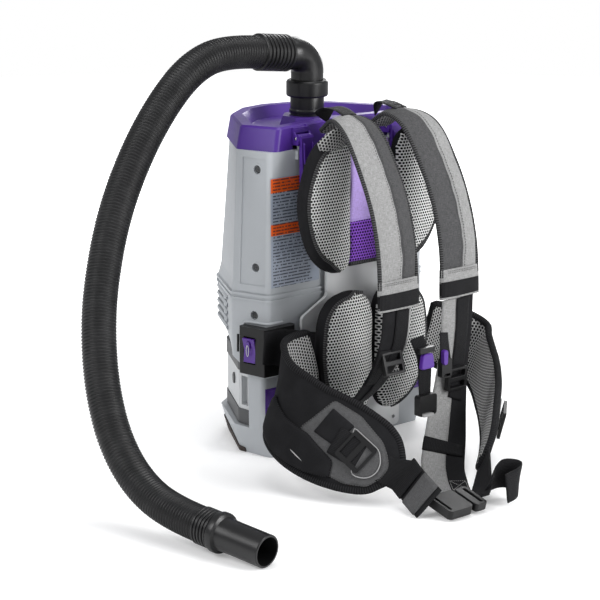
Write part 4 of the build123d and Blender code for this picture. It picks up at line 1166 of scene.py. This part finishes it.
def wing_panel(side, band):
    """The grey panel on the outside of a wing, with what is sewn on it."""
    shift = 0.0 if side == "left" else 0.012
    name = f"wing_{side}"

    def sewn(part, spots, corner, lift, thick, finish, slot, crown=0.0):
        outline = rounded([(v + shift, u) for v, u in spots], corner)
        patch(f"{name}_{part}", band, outline, lift, thick, finish, slot, crown)
        return outline

    def piped(part, outline, lift, radius, finish):
        edge = outline_path(band, outline, lift)
        tube(f"{name}_{part}_piping", edge, radius, finish, closed=True, around=8)

    panel = sewn("panel", [(0.198, 0.052), (0.168, -0.004), (0.202, -0.028), (0.230, -0.046),
                           (0.256, -0.048), (0.288, -0.040), (0.303, -0.022), (0.306, -0.004),
                           (0.296, 0.012), (0.284, 0.025), (0.244, 0.046)],
                 0.006, 0.0012, 0.002, "panel_grey", "strap_fabric")
    edge = outline_path(band, panel, 0.0016)
    stitches(f"{name}_panel_seam", [*edge, edge[0]], gap=0.0036)
    sewn("loop_tape", [(0.202, 0.041), (0.190, 0.001), (0.225, -0.006), (0.240, 0.030)],
         0.002, 0.0030, 0.002, "black_fabric", "black_fabric")
    # pocket flap along the lower edge, with a short zip that shows pale teeth
    flap = sewn("flap", [(0.100, 0.002), (0.142, -0.006), (0.183, -0.006), (0.232, -0.027),
                         (0.236, -0.048), (0.20, -0.0545), (0.15, -0.056), (0.100, -0.052)],
                0.005, 0.0048, 0.0044, "black_fabric", "black_fabric", 0.002)
    piped("flap", flap, 0.0028, 0.0012, "black_binding")
    zip_v, zip_u = np.linspace((0.166 + shift, -0.034), (0.196 + shift, -0.0435), 12).T
    teeth = band.on(zip_v, zip_u, 0.0058)
    tube(f"{name}_zip", teeth, lambda t: 0.0003 + 0.0009 * math.sin(math.pi * t), "zip_grey")
    # tab behind the tri-glide, with a pale piped edge
    tab = sewn("tab", [(0.240, 0.029), (0.285, 0.012), (0.294, -0.004), (0.294, -0.017),
                       (0.287, -0.027), (0.277, -0.032), (0.262, -0.033)],
               0.006, 0.0034, 0.0022, "panel_grey", "strap_fabric", 0.0005)
    piped("tab", tab, 0.0036, 0.0008, "zip_grey")
    sewn("web", [(0.225, 0.022), (0.268, 0.016), (0.262, -0.024), (0.219, -0.018)],
         0.002, 0.0046, 0.002, "webbing_black", "webbing_black")


def tip_webbing():
    """Webbing from the tri-glide over the near wing's tip and on to the buckle strap."""
    wing, strap = Band(HIP_WING_LEFT), Band(BELT_WEB_LEFT)
    rows, half, thick, between = 13, 0.0258, 0.0026, 5
    # band, place along it, lower edge, upper edge, how proud
    stations = [(wing, 0.262, -0.024, 0.016, 0.0050), (wing, 0.278, -0.0255, 0.015, 0.0056),
                (wing, 0.294, -0.027, 0.013, 0.0062), (wing, 0.306, -0.028, 0.0115, 0.0066),
                (strap, 0.008, -half, half, 0.0052), (strap, 0.028, -half, half, 0.0052)]
    rings = []
    for band, v, low_u, high_u, lift in stations:
        u = np.linspace(low_u, high_u, rows)
        rings.append(np.concatenate([band.at(v, u, lift), band.at(v, u, lift - thick)[::-1]]))
    dense = []
    for near, far in zip(rings, rings[1:]):
        dense += [near + (far - near) * k / between for k in range(between)]
    dense.append(rings[-1])
    across = np.linspace(-half, half, rows)
    cloth = [(u, 0.004 * k) for k in range(len(dense)) for u in [*across, *across[::-1]]]
    piece("tip_webbing", np.concatenate(dense), rings_faces(len(dense), 2 * rows), "webbing_black",
          uvs=cloth)


def belt():
    """Belt webbing on both sides, a grey cover on the left and a loose loop by the buckle."""
    left = Band(BELT_WEB_LEFT)
    web("belt_left", left, 0.051, 0.0035, "belt_webbing_left")
    flat_strap("belt_left_cover", left, 0.034, 0.064, -0.0262, 0.0262, 0.0028, 0.0026, "panel_grey")
    web("belt_right", Band(BELT_WEB_RIGHT), 0.045, 0.0032, "belt_webbing_right")
    web("belt_loop", Band(BELT_LOOP), 0.043, 0.0026)


# ---- small details on the housing ----------------------------------------------------------------
def met(tree, start, ahead, otherwise):
    """Where a ray from start meets a tree of faces."""
    hit = tree.ray_cast(Vector(start), Vector(ahead))[0]
    return hit if hit else Vector(otherwise)


def switch_bezel():
    """Pale raised rim round the switch box, from the housing's front face onto its side."""
    shell = surface_of("lower_front_shell", "lower_rear_shell")
    low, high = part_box("switch_housing")
    room, bend, front_y, face_width, slot_gap = 0.0035, 0.006, -0.098, 0.052, 0.0085
    bottom, top, rear = low.z - room, high.z + room, high.y + room
    front_x = low.x + face_width

    def side_point(y, z):
        return met(shell, (-0.3, y, z), (1, 0, 0), (-0.16, y, z))

    def front_points(z, rightwards):
        edge = side_point(front_y, z).x + 0.002
        xs = np.linspace(*((edge, front_x) if rightwards else (front_x, edge)), 8)
        return [met(shell, (x, -0.2, z), (0, 1, 0), (x, -0.1, z)) for x in xs]

    def rounding(z, first, last):
        return [side_point(rear - bend + bend * math.cos(a), z + bend * math.sin(a))
                for a in np.radians(np.linspace(first, last, 5))]

    path = front_points(top, False)
    path += [side_point(y, top) for y in np.linspace(front_y, rear - bend, 8)]
    path += rounding(top - bend, 90, 0)
    path += [side_point(rear, z) for z in np.linspace(top - 0.009, bottom + 0.009, 10)]
    path += rounding(bottom + bend, 0, -90)
    path += [side_point(y, bottom) for y in np.linspace(rear - 0.008, front_y, 8)]
    path += front_points(bottom, True)
    tube("switch_bezel", path, 0.0024, "housing_grey", "housing_grey")
    # a black cord behind the box, painted shade standing for a slot in the housing's side
    middle = (low.z + high.z) / 2
    line = [side_point(rear + slot_gap, z) for z in np.linspace(middle - 0.008, middle + 0.018, 10)]
    tube("side_slot_shade", line, 0.0019, "black_plastic", "black_plastic")


def switch_wrap():
    """Cloth wrapped over the front of the switch box and on towards the lumbar pad."""
    band = Band(SWITCH_WRAP)
    fold_height, fold_pitch = 0.0012, 0.031

    def faces(v):
        fold = fold_height * math.sin(v * TURN / fold_pitch)
        return -0.0008 + fold, 0.0022 + fold

    cover("switch_wrap", band, band.steps(40), faces, 0.001, "black_fabric", across=17)


def rocker_mark():
    """Plain pale ring on the rocker's face, a little way into it."""
    low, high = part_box("power_rocker")
    face = surface_of("power_rocker")
    turn = np.linspace(0, TURN, 28, endpoint=False)
    half_width, half_height = 0.0026, 0.0080
    y = (low.y + high.y) / 2 + half_width * np.cos(turn)
    z = (low.z + high.z) / 2 + half_height * np.sin(turn)
    x = np.array([met(face, (-0.3, a, b), (1, 0, 0), low).x for a, b in zip(y, z)])
    # on the plane that fits the face, so that its finger groove doesn't bend the ring
    plane = np.polyval(np.polyfit(z, x, 1), z)
    path = np.stack([np.minimum(plane, x.min() + 0.0008) - 0.0004, y, z], 1)
    tube("rocker_mark", path, 0.0006, "plate_grey", closed=True, around=8, body="rocker")


def latch_grips():
    """Black ribbed grip on the lower part of each latch lever."""
    rib_height, rib_pitch, width = 0.0004, 0.004, 0.019

    def ribbed(v):
        return -0.002, 0.0012 + rib_height * math.sin(v * TURN / rib_pitch)

    for side in ("left", "right"):
        low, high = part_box(f"lid_latch_{side}")
        middle = (low.x + high.x) / 2
        stations = [((middle, low.y + depth, low.z + height), (1, 0, 0), width)
                    for depth, height in ((0.0032, 0.034), (0.0010, 0.018), (-0.0002, 0.006))]
        band = Band(stations, step=0.001)
        cover(f"latch_grip_{side}", band, band.steps(40), ribbed, 0.002, "black_plastic", "black_plastic",
              power=6.0, body=f"latch_{side}")


def pad_ears():
    """Small mesh tabs where each strap is sewn to the top of its back pad."""
    for side, sign in (("left", 1), ("right", -1)):
        stations = [((x * sign, y, z), (lean * sign, -0.2, 1), width) for x, y, z, lean, width in PAD_EAR]
        band = Band(stations, outward=sign)
        ear = cover(f"pad_ear_{side}", band, band.steps(16), lambda v: (-0.002, 0.002), 0.0016,
                    "strap_mesh", "pad_mesh", crease=0.0006)
        soft()


# ---- camera, light, floor ------------------------------------------------------------------------
def aimed(name, data, place, target):
    """A camera or lamp at a place, turned to look at a target."""
    turn = (Vector(target) - Vector(place)).to_track_quat("-Z", "Y")
    return put(shown(name, data), location=place, rotation_mode="QUATERNION", rotation_quaternion=turn)


def camera():
    """The camera at the viewing angle of the main picture."""
    data = put(bpy.data.cameras.new("camera"), sensor_width=36.0, lens=129.6)
    place, target = (-2.0875, -2.3952, 0.9699), (-0.160, -0.178, 0.25375)
    bpy.context.scene.camera = aimed("camera", data, place, target)


def lamp(name, place, target, size, power):
    """A soft rectangular lamp."""
    data = put(bpy.data.lights.new(name, "AREA"), shape="RECTANGLE", size=size[0], size_y=size[1])
    data.energy = power
    aimed(name, data, place, target)


def sky():
    """Soft light from all sides; plain white where the camera sees it."""
    world = bpy.data.worlds.new("studio")
    world.use_nodes = True
    nodes, links = world.node_tree.nodes, world.node_tree.links
    light = nodes["Background"]
    light.inputs[0].default_value = (0.96, 0.97, 1.0, 1)
    light.inputs[1].default_value = 0.42
    white = nodes.new("ShaderNodeBackground")
    white.inputs[0].default_value = (1, 1, 1, 1)
    mix = nodes.new("ShaderNodeMixShader")
    links.new(nodes.new("ShaderNodeLightPath").outputs["Is Camera Ray"], mix.inputs[0])
    links.new(light.outputs[0], mix.inputs[1])
    links.new(white.outputs[0], mix.inputs[2])
    links.new(mix.outputs[0], nodes["World Output"].inputs[0])
    bpy.context.scene.world = world


def floor():
    """A pale round floor with a painted glow, seen only by the camera, that grows whiter away from the
    object.
    """
    bm = bmesh.new()
    bmesh.ops.create_circle(bm, cap_ends=True, radius=4.0, segments=96)
    mesh = bpy.data.meshes.new("floor")
    bm.to_mesh(mesh)
    bm.free()
    just_below = 0.0005
    ground = put(shown("floor", mesh), location=(0, 0, -just_below))
    f = Finish("floor", 0.7)
    f.colour(f.blend(f.noise(f.place(), 1.5, 2.0), (0.90, 0.90, 0.90, 1), (0.93, 0.93, 0.93, 1)))
    axes = f.axes(f.place())
    away = f.math("SQRT", f.add(f.mul(axes[0], axes[0]), f.mul(axes[1], axes[1])))
    least, from_radius, to_radius = 0.15, 0.4, 1.5
    # painted light: the floor glows faintly near the object and fully white far from it, in camera rays only
    glow = f.math("MULTIPLY_ADD", f.between(away, from_radius, to_radius), 1 - least, least)
    f.shader.inputs["Emission Color"].default_value = (1, 1, 1, 1)
    seen = f.mul(glow, f.node("LightPath").outputs["Is Camera Ray"])
    f.tree.links.new(seen, f.shader.inputs["Emission Strength"])
    mesh.materials.append(FINISHES["floor"])


def studio():
    """Soft area lights round the object, on a pale floor."""
    bpy.context.scene.view_settings.view_transform = "Standard"
    sky()
    lamp("key", (-2.6, 0.2, 1.9), (-0.1, -0.1, 0.3), (1.4, 1.4), 46)
    lamp("top", (0.1, -0.4, 2.6), (-0.1, -0.1, 0.2), (1.8, 1.4), 24)
    lamp("front", (0.9, -2.8, 1.2), (0.0, -0.2, 0.25), (1.4, 1.6), 78)
    lamp("rim", (1.9, 1.3, 1.2), (0.0, -0.1, 0.3), (0.8, 1.6), 26)
    floor()


# ---- build ---------------------------------------------------------------------------------------
make_finishes()
camera()
hose()
pads()
spine_panel()
for hand in ("left", "right"):
    shoulder_strap(hand)
    hip_wing(hand)
lower_straps()
small_straps()
belt()
tip_webbing()
sternum_buckle()
switch_bezel()
switch_wrap()
rocker_mark()
latch_grips()
pad_ears()
dress_packed()
studio()
